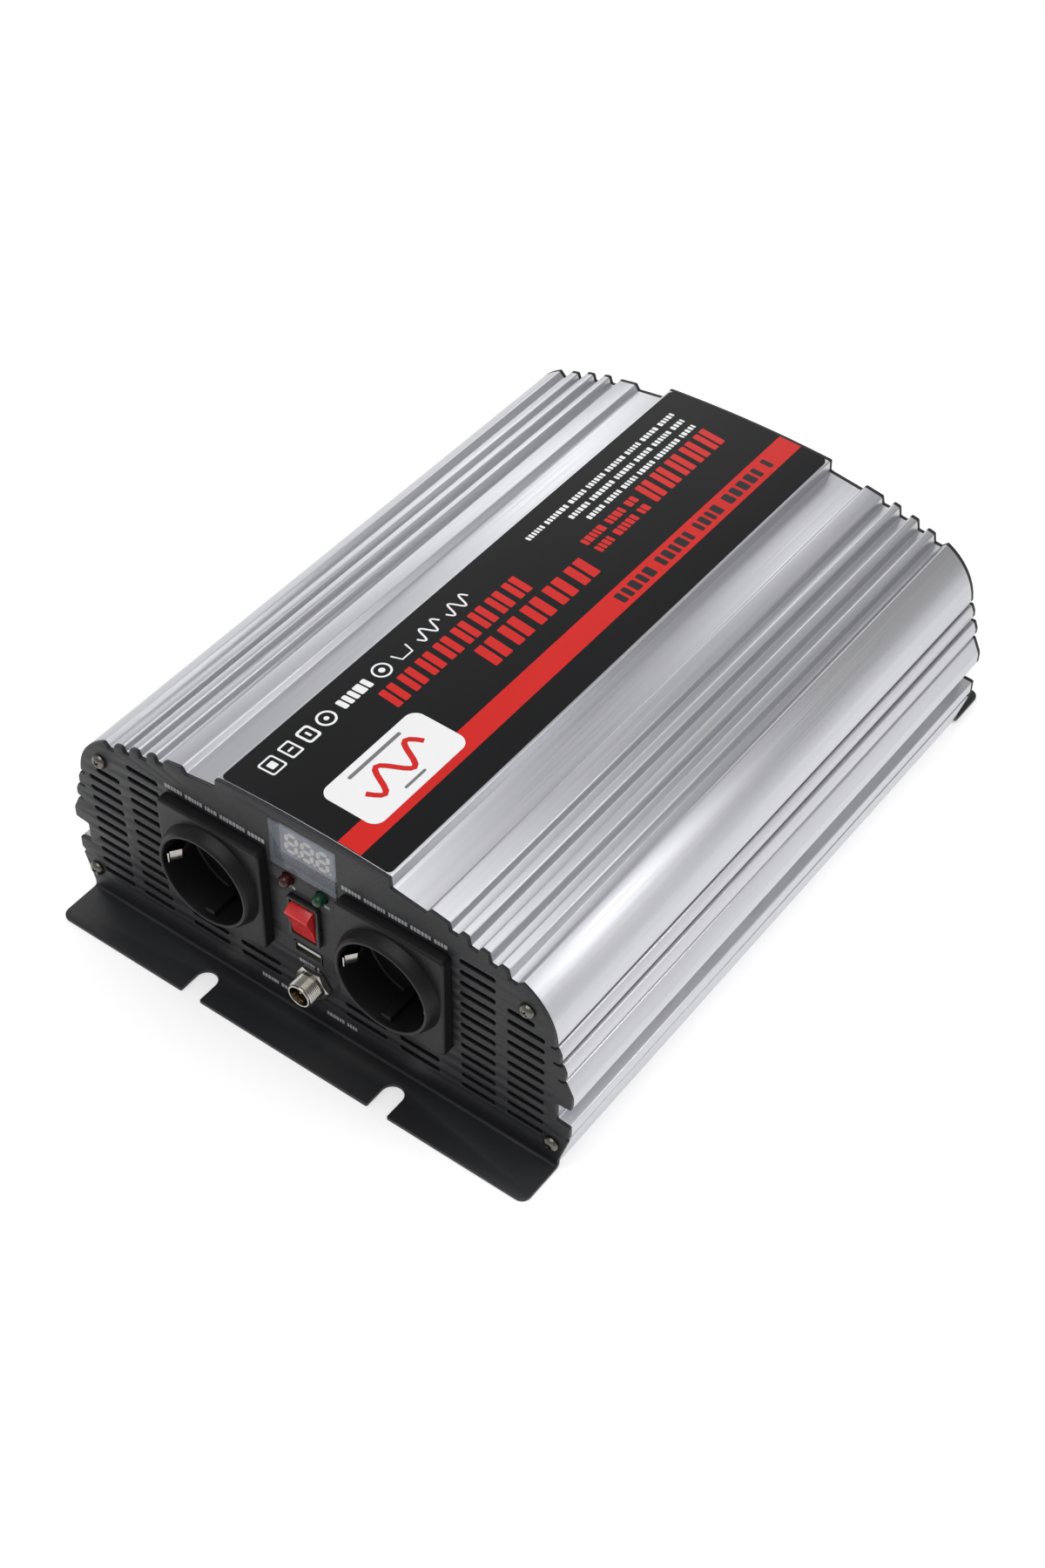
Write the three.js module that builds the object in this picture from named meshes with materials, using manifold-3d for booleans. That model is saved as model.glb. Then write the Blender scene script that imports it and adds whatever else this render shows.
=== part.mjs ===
// Power inverter: a finned aluminium case between two black end panels, with two earthed mains
// sockets, a meter, a rocker switch, a USB port and a remote connector on the front, and the fan
// and the battery terminals at the back. Millimetres. +X is right, +Y runs from front to back and
// +Z is up. Heights inside the case group count from the upper face of the mounting flanges.
import * as THREE from "three";
import { mergeVertices } from "three/addons/utils/BufferGeometryUtils.js";
import Module from "manifold-3d";

const wasm = await Module();
wasm.setup();

// ---- Driving dimensions ----------------------------------------------------------------------
const CASE_LENGTH = 294; // over the outer faces of the two end panels
const SHEET = 1.5; // steel sheet of the end panels
const FLANGE_DEPTH = 20.4; // how far each mounting flange stands out of its panel
const FLANGE_HALF_WIDTH = 115.4;
const FLANGE_SLOT_X = 46.5;
const FLANGE_SLOT_WIDTH = 9.4;
const FLANGE_SLOT_END = 6.3; // closed end of a slot, from the panel
const GAP = 0.3; // clearance between pieces that touch
const WALL = 2.5; // base tray floor
const ROUNDING_ERROR = 0.12; // largest gap between an arc and its chords

const PANEL_FRONT = -CASE_LENGTH / 2;
const PANEL_BACK = PANEL_FRONT + SHEET;
const CASE_END = -PANEL_BACK - GAP; // the extrusions run from -CASE_END to CASE_END
const SEAM = 17.5; // top of the base tray's sides
const HOUSING_BOTTOM = 19.3;

const SOCKET_X = 42.7;
const SOCKET_Z = 58.4;
const SOCKET_WIDTH = 50;
const SOCKET_HEIGHT = 52.3;
const SOCKET_PLATE = 5.1; // thickness of the socket's square plate
const SOCKET_RIM = 10.3; // front of the round collar, from the panel
const WELL_RADIUS = 19.7;
const WELL_DEPTH = 17.5;
const PIN_SPACING = 19;

const WINDOW_Z = 91.2;
const WINDOW_WIDTH = 31;
const WINDOW_HEIGHT = 23.5;
const LAMP_X = 8;
const LAMP_Z = 75;
const SWITCH_X = -0.7;
const SWITCH_Z = 57;
const ROCKER_TILT = THREE.MathUtils.degToRad(17); // either way from level
const ROCKER_FACET = THREE.MathUtils.degToRad(5); // slope of each half of its face
const USB_X = -0.8;
const USB_Z = 38.2;
const REMOTE_X = 1.5;
const REMOTE_Z = 23.5;

const UPPER_SCREW = [101, 79.5];
const LOWER_SCREW = [112.5, 12];
const SCREW_HOLE = 1.8;
const CLAMP_SCREW_FIRST_Y = -77;
const CLAMP_SCREW_PITCH = 32.3;
const CLAMP_SCREW_Z = 31.4;

const FAN_SIZE = 80;
const FAN_DEPTH = 25;
const FAN_Z = 52;
const FAN_SCREW_OFFSET = 35.75;
const DUCT_RADIUS = 38;

const TERMINAL_X = 78;
const TERMINAL_Z = 47;
const EARTH_X = 58;
const EARTH_Z = 17;
const TERMINAL_KNOB_LOBES = 10;

const BOARD_BOTTOM = 8;
const BOARD_THICKNESS = 1.6;
const BOARD_TOP = BOARD_BOTTOM + BOARD_THICKNESS;

// ---- Case section ----------------------------------------------------------------------------
// Corners of the right half as [x, z, corner radius], from the seam up to the middle of the roof.
const SIDE_FINS = [
  [117.5, HOUSING_BOTTOM],
  [120, 19.9, 0.8],
  [120, 25.8, 0.8],
  [114, 26.3, 0.5],
  [114, 36.5, 0.5],
  [120.5, 37.2, 0.6],
  [120.5, 42.5, 5],
  [117.2, 49.6, 1.2],
  [114.5, 50],
  [114.5, 51],
  [117.4, 51.4, 1],
  [117.4, 54.8, 2],
  [116, 58.2, 0.8],
  [112.2, 58],
  [112.2, 59.2],
  [115.2, 59.5, 1],
  [115, 63, 2],
  [113.6, 66.2, 0.8],
  [111, 66],
  [111, 67.2],
  [113.2, 67.5, 0.5],
];
const SHOULDER = [
  [111.5, 83.3, 27.5],
  [98, 91.1, 0.8],
];
const ROOF_FINS = [
  [95.6, 88.6, 0.4],
  [92.6, 88.8, 0.4],
  [91.8, 93.2, 0.9],
  [88.2, 94, 0.9],
  [87.2, 91.3, 0.4],
  [84.4, 91.6, 0.4],
  [83.6, 96.2, 0.9],
  [80, 97, 0.9],
  [79, 93.8, 0.4],
  [75.4, 94.2, 0.4],
  [74.7, 98.8, 0.9],
  [71.4, 99.5, 0.9],
  [70.4, 96.3, 0.4],
  [66.9, 96.6, 0.4],
  [66.2, 100.1, 0.9],
  [57.8, 101.6, 0.9],
  [56.2, 99, 0.5],
  [42.3, 101, 0.5],
  [40.7, 101.4],
];
const CROWN_HALF_WIDTH = 40.5; // the raised strip that carries the label
const CROWN_EDGE = 106.5;
const CROWN_RADIUS = 550;
const LABEL_INSET = 1.3; // bare metal left round the label
const INNER_WALL = [
  [111.6, HOUSING_BOTTOM],
  [110.4, 50, 4],
  [108.6, 67, 6],
  [103.6, 81.6, 12],
  [94.6, 86.3, 6],
  [70, 93.6, 6],
  [56, 96.2, 4],
  [38.6, 98.4, 1],
  [36.6, 103.6, 1],
];
const INNER_ROOF = 105.2;

// ---- Geometry helpers ------------------------------------------------------------------------
function toSolid(geometry) {
  const bare = geometry.clone();
  bare.deleteAttribute("normal");
  bare.deleteAttribute("uv");
  const merged = mergeVertices(bare, 1e-4);
  return new wasm.Manifold(
    new wasm.Mesh({
      numProp: 3,
      vertProperties: new Float32Array(merged.attributes.position.array),
      triVerts: new Uint32Array(merged.index.array),
    }),
  );
}

function toGeometry(solid) {
  const mesh = solid.getMesh();
  const geometry = new THREE.BufferGeometry();
  geometry.setAttribute("position", new THREE.BufferAttribute(mesh.vertProperties, 3));
  geometry.setIndex(new THREE.BufferAttribute(mesh.triVerts, 1));
  const faceted = geometry.toNonIndexed();
  faceted.computeVertexNormals();
  return faceted;
}

function join(first, ...others) {
  return toGeometry(others.reduce((solid, other) => solid.add(toSolid(other)), toSolid(first)));
}

function cut(body, ...tools) {
  return toGeometry(tools.reduce((solid, tool) => solid.subtract(toSolid(tool)), toSolid(body)));
}

// Replaces each corner [x, y, radius] by its arc, with enough chords to stay close to the arc.
function roundCorners(corners) {
  const points = corners.map(([x, y]) => new THREE.Vector2(x, y));
  const count = points.length;
  return corners.flatMap(([, , radius = 0], i) => {
    const corner = points[i];
    if (radius === 0) {
      return [corner];
    }
    const back = points[(i + count - 1) % count].clone().sub(corner).normalize();
    const ahead = points[(i + 1) % count].clone().sub(corner).normalize();
    const turn = Math.PI - Math.acos(THREE.MathUtils.clamp(back.dot(ahead), -1, 1));
    const reach = radius * Math.tan(turn / 2);
    const bisector = back.clone().add(ahead).normalize();
    const centre = corner.clone().addScaledVector(bisector, radius / Math.cos(turn / 2));
    const start = corner.clone().addScaledVector(back, reach).sub(centre);
    const direction = Math.sign(ahead.cross(back));
    const largestStep = 2 * Math.acos(1 - Math.min(ROUNDING_ERROR / radius, 1));
    const steps = Math.max(1, Math.ceil(turn / largestStep));
    return Array.from({ length: steps + 1 }, (_, k) =>
      start.clone().rotateAround(new THREE.Vector2(), (direction * turn * k) / steps).add(centre),
    );
  });
}

function outline(corners) {
  return new THREE.Shape(roundCorners(corners));
}

// A right half listed from the bottom up, followed by its mirror image from the top down.
function mirrored(rightHalf) {
  const leftHalf = rightHalf.map(([x, z, radius]) => [-x, z, radius]).reverse();
  return [...rightHalf, ...leftHalf];
}

function extrude(shape, depth) {
  return new THREE.ExtrudeGeometry(shape, { depth, bevelEnabled: false, curveSegments: 3 });
}

// Shapes drawn in X and Z, running from y0 to y1.
function alongY(shape, y0, y1) {
  return extrude(shape, y1 - y0).rotateX(Math.PI / 2).translate(0, y1, 0);
}

// Shapes drawn in Y and Z, running from x0 to x1.
function alongX(shape, x0, x1) {
  const turn = new THREE.Matrix4().makeBasis(
    new THREE.Vector3(0, 1, 0),
    new THREE.Vector3(0, 0, 1),
    new THREE.Vector3(1, 0, 0),
  );
  return extrude(shape, x1 - x0).applyMatrix4(turn).translate(x0, 0, 0);
}

// Shapes drawn in X and Y, running from z0 to z1.
function alongZ(shape, z0, z1) {
  return extrude(shape, z1 - z0).translate(0, 0, z0);
}

function box([x0, x1], [y0, y1], [z0, z1]) {
  const geometry = new THREE.BoxGeometry(x1 - x0, y1 - y0, z1 - z0);
  return geometry.translate((x0 + x1) / 2, (y0 + y1) / 2, (z0 + z1) / 2);
}

function rodY(radius, y0, y1, x = 0, z = 0, sides = 12) {
  const geometry = new THREE.CylinderGeometry(radius, radius, y1 - y0, sides);
  return geometry.translate(x, (y0 + y1) / 2, z);
}

function rodX(radius, x0, x1, y, z, sides = 12) {
  return rodY(radius, x0, x1, 0, 0, sides).rotateZ(-Math.PI / 2).translate(0, y, z);
}

function rodZ(radius, z0, z1, x, y, sides = 12) {
  return rodY(radius, z0, z1, 0, 0, sides).rotateX(Math.PI / 2).translate(x, y, 0);
}

// A turned piece on the Y axis. The profile is [radius, y] from the front end to the back end.
function turned(profile, sides = 24) {
  return new THREE.LatheGeometry(profile.map(([r, y]) => new THREE.Vector2(r, y)), sides);
}

function hexagon(cornerRadius) {
  const corner = new THREE.Vector2(cornerRadius, 0);
  const turns = [0, 1, 2, 3, 4, 5].map((k) => (k * Math.PI) / 3);
  return new THREE.Shape(turns.map((turn) => corner.clone().rotateAround(new THREE.Vector2(), turn)));
}

function rectangle(width, height, radius = 0, x = 0, y = 0) {
  return outline([
    [x - width / 2, y - height / 2, radius],
    [x + width / 2, y - height / 2, radius],
    [x + width / 2, y + height / 2, radius],
    [x - width / 2, y + height / 2, radius],
  ]);
}

// ---- Scene graph -----------------------------------------------------------------------------
const inverter = new THREE.Group();
const caseGroup = new THREE.Group();
caseGroup.position.z = SHEET;
inverter.add(caseGroup);

const finishes = {
  aluminium: { color: 0xb9babf, roughness: 0.38, metalness: 0.9 },
  blackSheet: { color: 0x2b2b2e, roughness: 0.6, metalness: 0.2 },
  blackPlastic: { color: 0x151517, roughness: 0.45, metalness: 0 },
  palePlastic: { color: 0xb9bbb0, roughness: 0.5, metalness: 0 },
  label: { color: 0x17181b, roughness: 0.5, metalness: 0 },
  redPlastic: { color: 0xd0201c, roughness: 0.3, metalness: 0 },
  redLens: { color: 0xb83a34, roughness: 0.2, metalness: 0 },
  greenLens: { color: 0x7fae93, roughness: 0.2, metalness: 0 },
  smokedLens: { color: 0x8c97a3, roughness: 0.15, metalness: 0 },
  nickel: { color: 0xcfccc4, roughness: 0.22, metalness: 1 },
  zinc: { color: 0xa9a593, roughness: 0.35, metalness: 1 },
  brass: { color: 0xc9a24d, roughness: 0.3, metalness: 1 },
  board: { color: 0x1f5a36, roughness: 0.6, metalness: 0 },
  ferrite: { color: 0x3a3836, roughness: 0.7, metalness: 0.1 },
  copperWire: { color: 0xb4693a, roughness: 0.4, metalness: 0.7 },
  sleeve: { color: 0x22314f, roughness: 0.4, metalness: 0 },
};

function add(name, geometry, finish, x = 0, y = 0, z = 0) {
  const mesh = new THREE.Mesh(geometry, new THREE.MeshStandardMaterial(finishes[finish]));
  mesh.name = name;
  mesh.position.set(x, y, z);
  caseGroup.add(mesh);
  return mesh;
}

// ---- Case ------------------------------------------------------------------------------------
const CROWN_CORNER = [CROWN_HALF_WIDTH, CROWN_EDGE, 0.6];
const HOUSING_SIDE = [...SIDE_FINS, ...SHOULDER, ...ROOF_FINS, CROWN_CORNER];
const CROWN_STEP = 12;

function crownHeight(x) {
  const rise = (at) => Math.sqrt(CROWN_RADIUS ** 2 - at ** 2);
  return CROWN_EDGE + rise(x) - rise(CROWN_HALF_WIDTH);
}

// Places across the crown where its arched top bends, from right to left.
const CROWN_BENDS = [3, 2, 1, 0, -1, -2, -3].map((step) => step * CROWN_STEP);

// The right half's section, the arched crown over it, then the left half.
function archedOutline(rightHalf) {
  const crown = CROWN_BENDS.map((x) => [x, crownHeight(x)]);
  const leftHalf = rightHalf.map(([x, z, radius]) => [-x, z, radius]).reverse();
  return [...rightHalf, ...crown, ...leftHalf];
}

function clampScrewPositions() {
  return [0, 1, 2, 3].map((i) => CLAMP_SCREW_FIRST_Y + i * CLAMP_SCREW_PITCH);
}

function upperHousing() {
  const inner = [...INNER_WALL, [0, INNER_ROOF]];
  const innerLeft = INNER_WALL.map(([x, z, radius]) => [-x, z, radius]);
  const section = [...archedOutline(HOUSING_SIDE), ...innerLeft, ...inner.reverse()];
  const shell = alongY(outline(section), -CASE_END, CASE_END);
  const [bossX, bossZ] = UPPER_SCREW;
  const bosses = [-1, 1].map((side) => rodY(4.4, -CASE_END, CASE_END, side * bossX, bossZ, 12));
  const threads = [-1, 1].map((side) =>
    rodY(SCREW_HOLE, -CASE_END - 1, CASE_END + 1, side * bossX, bossZ, 8),
  );
  const clampHoles = clampScrewPositions().flatMap((y) => [
    rodX(1.9, 108, 116, y, CLAMP_SCREW_Z, 8),
    rodX(1.9, -116, -108, y, CLAMP_SCREW_Z, 8),
  ]);
  return cut(join(shell, ...bosses), ...threads, ...clampHoles);
}

function baseTray() {
  const shelf = HOUSING_BOTTOM - GAP; // inner edge that the upper housing rests on
  const section = mirrored([
    [114.2, -SHEET, 1.5],
    [119.6, SEAM, 0.6],
    [117.2, SEAM],
    [117.2, shelf],
    [111.8, shelf],
    [111.8, 16.8],
    [116.4, 16.2],
    [112.2, WALL - SHEET, 0.8],
  ]);
  const tray = alongY(outline(section), -CASE_END, CASE_END);
  const [bossX, bossZ] = LOWER_SCREW;
  const bosses = [-1, 1].map((side) => rodY(4, -CASE_END, CASE_END, side * bossX, bossZ, 10));
  const threads = [-1, 1].map((side) =>
    rodY(SCREW_HOLE, -CASE_END - 1, CASE_END + 1, side * bossX, bossZ, 8),
  );
  const pillars = [-95, 95].flatMap((x) =>
    [-100, 100].map((y) => rodZ(3.5, 0, BOARD_BOTTOM - GAP, x, y, 8)),
  );
  return cut(join(tray, ...bosses, ...pillars), ...threads);
}

// Panel sheet above the bend, the bend itself and the flange with its two open slots.
function blankPanel() {
  const sheetSide = [
    [FLANGE_HALF_WIDTH, 3],
    [119.6, 17.4, 0.8],
    [117.5, 17.9],
    ...HOUSING_SIDE,
  ];
  const sheet = alongY(outline(archedOutline(sheetSide)), PANEL_FRONT, PANEL_BACK);
  const bendSection = [
    [PANEL_BACK, 5],
    [PANEL_FRONT, 5],
    [PANEL_FRONT, 0, 1.2],
    [PANEL_FRONT - 4, 0],
    [PANEL_FRONT - 4, -SHEET],
    [PANEL_BACK, -SHEET, 2.7],
  ];
  const bend = alongX(outline(bendSection), -FLANGE_HALF_WIDTH, FLANGE_HALF_WIDTH);
  const edge = PANEL_FRONT - FLANGE_DEPTH;
  const slotEnd = PANEL_FRONT - FLANGE_SLOT_END;
  const halfSlot = FLANGE_SLOT_WIDTH / 2;
  const flangeSection = mirrored([
    [FLANGE_HALF_WIDTH, PANEL_FRONT - 3],
    [FLANGE_HALF_WIDTH, edge, 4],
    [FLANGE_SLOT_X + halfSlot, edge],
    [FLANGE_SLOT_X + halfSlot, slotEnd, halfSlot - 0.01],
    [FLANGE_SLOT_X - halfSlot, slotEnd, halfSlot - 0.01],
    [FLANGE_SLOT_X - halfSlot, edge],
  ]);
  const flange = alongZ(outline(flangeSection.reverse()), -SHEET, 0);
  return join(sheet, bend, flange);
}

function throughPanel(shape) {
  return alongY(shape, PANEL_FRONT - 1, PANEL_BACK + 1);
}

// A louvre slot with bevelled ends, centred on x and z.
function louvreSlot(width, height, x, z) {
  const end = height * 0.3;
  const tip = height * 0.2;
  const corners = [
    [width / 2, -tip],
    [width / 2, tip],
    [width / 2 - end, height / 2],
    [-width / 2 + end, height / 2],
    [-width / 2, tip],
    [-width / 2, -tip],
    [-width / 2 + end, -height / 2],
    [width / 2 - end, -height / 2],
  ];
  return throughPanel(outline(corners.map(([dx, dz]) => [x + dx, z + dz])));
}

function panelHole(radius, x, z, sides = 12) {
  return rodY(radius, PANEL_FRONT - 1, PANEL_BACK + 1, x, z, sides);
}

const CORNER_SCREWS = [UPPER_SCREW, LOWER_SCREW].flatMap(([x, z]) => [
  [-x, z],
  [x, z],
]);

const SLOT_HEIGHT = 2.6;
const SLOT_ROW_Z = 14.5;
const SLOT_PITCH = 5.85;
// Columns of louvre slots on one side of the front panel: [inner x, outer x, rows].
const SLOT_COLUMNS = [
  [71, 87, 13],
  [92, 108.5, 10],
  [92, 104, 1, 10],
  [16, 36, 2],
  [42, 61, 2],
];

function frontVents() {
  return SLOT_COLUMNS.flatMap(([x0, x1, rows, firstRow = 0]) => {
    const middle = (x0 + x1) / 2;
    const heights = Array.from({ length: rows }, (_, row) => SLOT_ROW_Z + (firstRow + row) * SLOT_PITCH);
    return heights.flatMap((z) =>
      [-middle, middle].map((x) => louvreSlot(x1 - x0, SLOT_HEIGHT, x, z)),
    );
  });
}

function frontPanel() {
  const cutouts = [
    ...[-1, 1].map((side) => panelHole(22.2, side * SOCKET_X, SOCKET_Z, 32)),
    throughPanel(rectangle(WINDOW_WIDTH + 0.6, WINDOW_HEIGHT + 0.6, 0.8, 0, WINDOW_Z)),
    ...[-1, 1].map((side) => panelHole(2.9, side * LAMP_X, LAMP_Z, 12)),
    throughPanel(rectangle(13.6, 19.8, 0, SWITCH_X, SWITCH_Z)),
    throughPanel(rectangle(14, 6.6, 0.5, USB_X, USB_Z)),
    panelHole(6.1, REMOTE_X, REMOTE_Z, 20),
    ...CORNER_SCREWS.map(([x, z]) => panelHole(SCREW_HOLE, x, z, 8)),
    ...frontVents(),
  ];
  return cut(blankPanel(), ...cutouts);
}

// One arc slot of the fan grille, between two radii, centred on an angle.
function grilleSlot(inner, outer, angle) {
  const middle = (inner + outer) / 2;
  const half = Math.PI / 4 - 3 / middle;
  const shape = new THREE.Shape();
  shape.absarc(0, 0, outer, angle - half, angle + half, false);
  shape.absarc(0, 0, inner, angle + half, angle - half, true);
  return throughPanel(shape).translate(0, 0, FAN_Z);
}

const GRILLE_RINGS = [
  [10, 14.5],
  [18, 22.5],
  [26, 30.5],
  [34, 37.5],
];

// Built facing forwards, then turned about the vertical axis to face backwards.
function rearPanel() {
  const quarterAngles = [1, 3, 5, 7].map((k) => (k * Math.PI) / 4);
  const cutouts = [
    ...GRILLE_RINGS.flatMap(([inner, outer]) => quarterAngles.map((a) => grilleSlot(inner, outer, a))),
    ...[-1, 1].flatMap((sx) =>
      [-1, 1].map((sz) => panelHole(2.2, sx * FAN_SCREW_OFFSET, FAN_Z + sz * FAN_SCREW_OFFSET, 8)),
    ),
    ...[-1, 1].map((side) => panelHole(7.8, side * TERMINAL_X, TERMINAL_Z, 16)),
    panelHole(3.1, -EARTH_X, EARTH_Z, 10),
    ...CORNER_SCREWS.map(([x, z]) => panelHole(SCREW_HOLE, x, z, 8)),
  ];
  return cut(blankPanel(), ...cutouts).rotateZ(Math.PI);
}

function topLabel() {
  const edge = CROWN_HALF_WIDTH - LABEL_INSET;
  const end = CASE_END - LABEL_INSET;
  const thickness = 0.4;
  const lift = 0.15;
  const bends = [edge, ...CROWN_BENDS, -edge];
  const upper = bends.map((x) => new THREE.Vector2(x, crownHeight(x) + lift + thickness));
  const lower = bends.map((x) => new THREE.Vector2(x, crownHeight(x) + lift)).reverse();
  return alongY(new THREE.Shape([...upper, ...lower]), -end, end);
}

add("upper_housing", upperHousing(), "aluminium");
add("base_tray", baseTray(), "aluminium");
add("front_panel", frontPanel(), "blackSheet");
add("rear_panel", rearPanel(), "blackSheet");
add("top_label", topLabel(), "label");

// ---- Screws ----------------------------------------------------------------------------------
const SCREW_HEAD_HEIGHT = 2.1;
const SCREW_HEAD_RADIUS = 3.3;

// A pan head cross-recess screw that points along +Y, with its head's underside at y = 0.
function panHeadScrew(length) {
  const screw = turned(
    [
      [0, -SCREW_HEAD_HEIGHT],
      [1.9, -SCREW_HEAD_HEIGHT],
      [3, -1.3],
      [SCREW_HEAD_RADIUS, 0],
      [1.45, 0],
      [1.45, length - 1],
      [0, length],
    ],
    10,
  );
  const recess = [-SCREW_HEAD_HEIGHT - 1, -0.9];
  const wide = [-1.6, 1.6];
  const narrow = [-0.35, 0.35];
  return cut(screw, box(wide, recess, narrow), box(narrow, recess, wide));
}

function addPanelScrews() {
  CORNER_SCREWS.forEach(([x, z], i) => {
    const front = add(`front_panel_screw_${i + 1}`, panHeadScrew(12), "zinc");
    front.position.set(x, PANEL_FRONT - GAP, z);
    const back = add(`rear_panel_screw_${i + 1}`, panHeadScrew(12), "zinc");
    back.position.set(x, -PANEL_FRONT + GAP, z);
    back.rotation.z = Math.PI;
  });
}

// Screws in the side channels, which pull the transistors' clamp bars against the case wall.
function addClampScrews() {
  const headSeat = 114 + GAP;
  clampScrewPositions().forEach((y, i) => {
    const right = add(`right_clamp_screw_${i + 1}`, panHeadScrew(9), "zinc");
    right.position.set(headSeat, y, CLAMP_SCREW_Z);
    right.rotation.z = Math.PI / 2;
    const left = add(`left_clamp_screw_${i + 1}`, panHeadScrew(9), "zinc");
    left.position.set(-headSeat, y, CLAMP_SCREW_Z);
    left.rotation.z = -Math.PI / 2;
  });
}

addPanelScrews();
addClampScrews();

// ---- Mains sockets ---------------------------------------------------------------------------
const SOCKET_BACK = 27; // back of the socket's body, behind the panel face
const WELL_FLOOR = WELL_DEPTH - SOCKET_RIM; // behind the panel face
const STRAP_X = 17.9;
const STRAP_THICKNESS = 0.8;

// The socket's own origin is on its axis, on the panel's front face.
function socketBody() {
  const plateBack = -GAP;
  const plate = alongY(
    rectangle(SOCKET_WIDTH, SOCKET_HEIGHT, 2),
    -SOCKET_PLATE,
    plateBack,
  );
  const collar = turned(
    [
      [0, -SOCKET_RIM],
      [21.4, -SOCKET_RIM],
      [21.9, -SOCKET_RIM + 0.6],
      [23.8, -SOCKET_PLATE],
      [23.8, -2],
      [21.8, -2],
      [21.8, SOCKET_BACK],
      [0, SOCKET_BACK],
    ],
    36,
  );
  const well = rodY(WELL_RADIUS, -SOCKET_RIM - 1, WELL_FLOOR, 0, 0, 36);
  const ribs = [-1, 1].map((side) => {
    const low = side > 0 ? 17.4 : -20.5;
    return box([-2.4, 2.4], [-SOCKET_RIM + 2.5, WELL_FLOOR + 1], [low, low + 3.1]);
  });
  const pinHoles = [-1, 1].flatMap((side) => [
    rodY(2.6, WELL_FLOOR - 1, WELL_FLOOR + 2, 0, (side * PIN_SPACING) / 2, 12),
    rodY(3.6, WELL_FLOOR + 1.5, SOCKET_BACK + 1, 0, (side * PIN_SPACING) / 2, 12),
  ]);
  const strapSlots = [-1, 1].map((side) =>
    box([side * STRAP_X - 0.8, side * STRAP_X + 0.8], [WELL_FLOOR - 1, SOCKET_BACK + 1], [-3, 3]),
  );
  const hollowed = cut(join(plate, collar), well);
  return cut(join(hollowed, ...ribs), ...pinHoles, ...strapSlots);
}

// One springy strip, bent round the back of the socket, with a clip at each side of the well.
function earthStrap() {
  const back = SOCKET_BACK + GAP;
  const outer = STRAP_X + STRAP_THICKNESS / 2;
  const inner = STRAP_X - STRAP_THICKNESS / 2;
  const tip = -SOCKET_RIM + 3;
  const section = mirrored([
    [outer, back + STRAP_THICKNESS],
    [outer, tip + 7],
    [outer - 1.5, tip + 3],
    [outer, tip],
    [inner, tip],
    [inner - 1.7, tip + 3],
    [inner, tip + 7],
    [inner, back],
  ]);
  return alongZ(outline(section.reverse()), -2.5, 2.5);
}

// A split-free sleeve that grips a plug pin, with a solder tail behind it.
function pinContact() {
  const front = WELL_FLOOR + 2;
  const sleeveBack = SOCKET_BACK - 2;
  const sleeve = turned(
    [
      [0, front + 14],
      [2.45, front + 14],
      [2.45, front],
      [3.1, front],
      [3.1, sleeveBack],
      [0, sleeveBack],
    ],
    12,
  );
  const tail = box([-0.4, 0.4], [sleeveBack - 0.5, SOCKET_BACK + 7], [-1.5, 1.5]);
  return join(sleeve, tail);
}

function addSocket(side, x) {
  const socket = new THREE.Group();
  socket.position.set(x, PANEL_FRONT, SOCKET_Z);
  caseGroup.add(socket);
  socket.add(add(`${side}_socket`, socketBody(), "blackPlastic"));
  socket.add(add(`${side}_socket_earth_strap`, earthStrap(), "nickel"));
  socket.add(add(`${side}_socket_upper_contact`, pinContact(), "brass", 0, 0, PIN_SPACING / 2));
  socket.add(add(`${side}_socket_lower_contact`, pinContact(), "brass", 0, 0, -PIN_SPACING / 2));
}

addSocket("left", -SOCKET_X);
addSocket("right", SOCKET_X);

// ---- Meter and lamps -------------------------------------------------------------------------
const WINDOW_LIP_BACK = SHEET + GAP + 1.2;

function displayWindow() {
  const face = alongY(rectangle(WINDOW_WIDTH, WINDOW_HEIGHT, 0.6), -0.4, SHEET + GAP + 0.5);
  const lip = alongY(rectangle(WINDOW_WIDTH + 4, WINDOW_HEIGHT + 2), SHEET + GAP, WINDOW_LIP_BACK);
  return join(face, lip);
}

// Meter board with the three-digit block standing on it, towards the window.
function displayModule() {
  const front = WINDOW_LIP_BACK + GAP;
  const digits = alongY(rectangle(27, 16), front, front + 7);
  const board = alongY(rectangle(36, 26), front + 6.5, front + 8);
  return join(digits, board);
}

// A round 5 mm lamp that stands out of its hole, with its rim behind the panel.
function lamp() {
  const rimFront = SHEET + GAP;
  return turned(
    [
      [0, -4.2],
      [1.3, -3.9],
      [2.2, -3],
      [2.5, -1.8],
      [2.5, rimFront],
      [3.1, rimFront],
      [3.1, rimFront + 1],
      [2.5, rimFront + 1],
      [2.5, rimFront + 5],
      [0, rimFront + 5],
    ],
    10,
  );
}

add("display_window", displayWindow(), "smokedLens", 0, PANEL_FRONT, WINDOW_Z);
add("display_module", displayModule(), "blackPlastic", 0, PANEL_FRONT, WINDOW_Z);
add("fault_lamp", lamp(), "redLens", -LAMP_X, PANEL_FRONT, LAMP_Z);
add("power_lamp", lamp(), "greenLens", LAMP_X, PANEL_FRONT, LAMP_Z);

// ---- Rocker switch ---------------------------------------------------------------------------
// The switch's origin is the rocker's pivot, level with the middle of the bezel.
const PIVOT_Y = PANEL_FRONT + 0.5;
const BEZEL_FRONT = -2.5;
const BEZEL_BACK = -0.5 - GAP;
const ROCKER_HALF_WIDTH = 5.5;
const ROCKER_ARC = 8.7;

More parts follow.
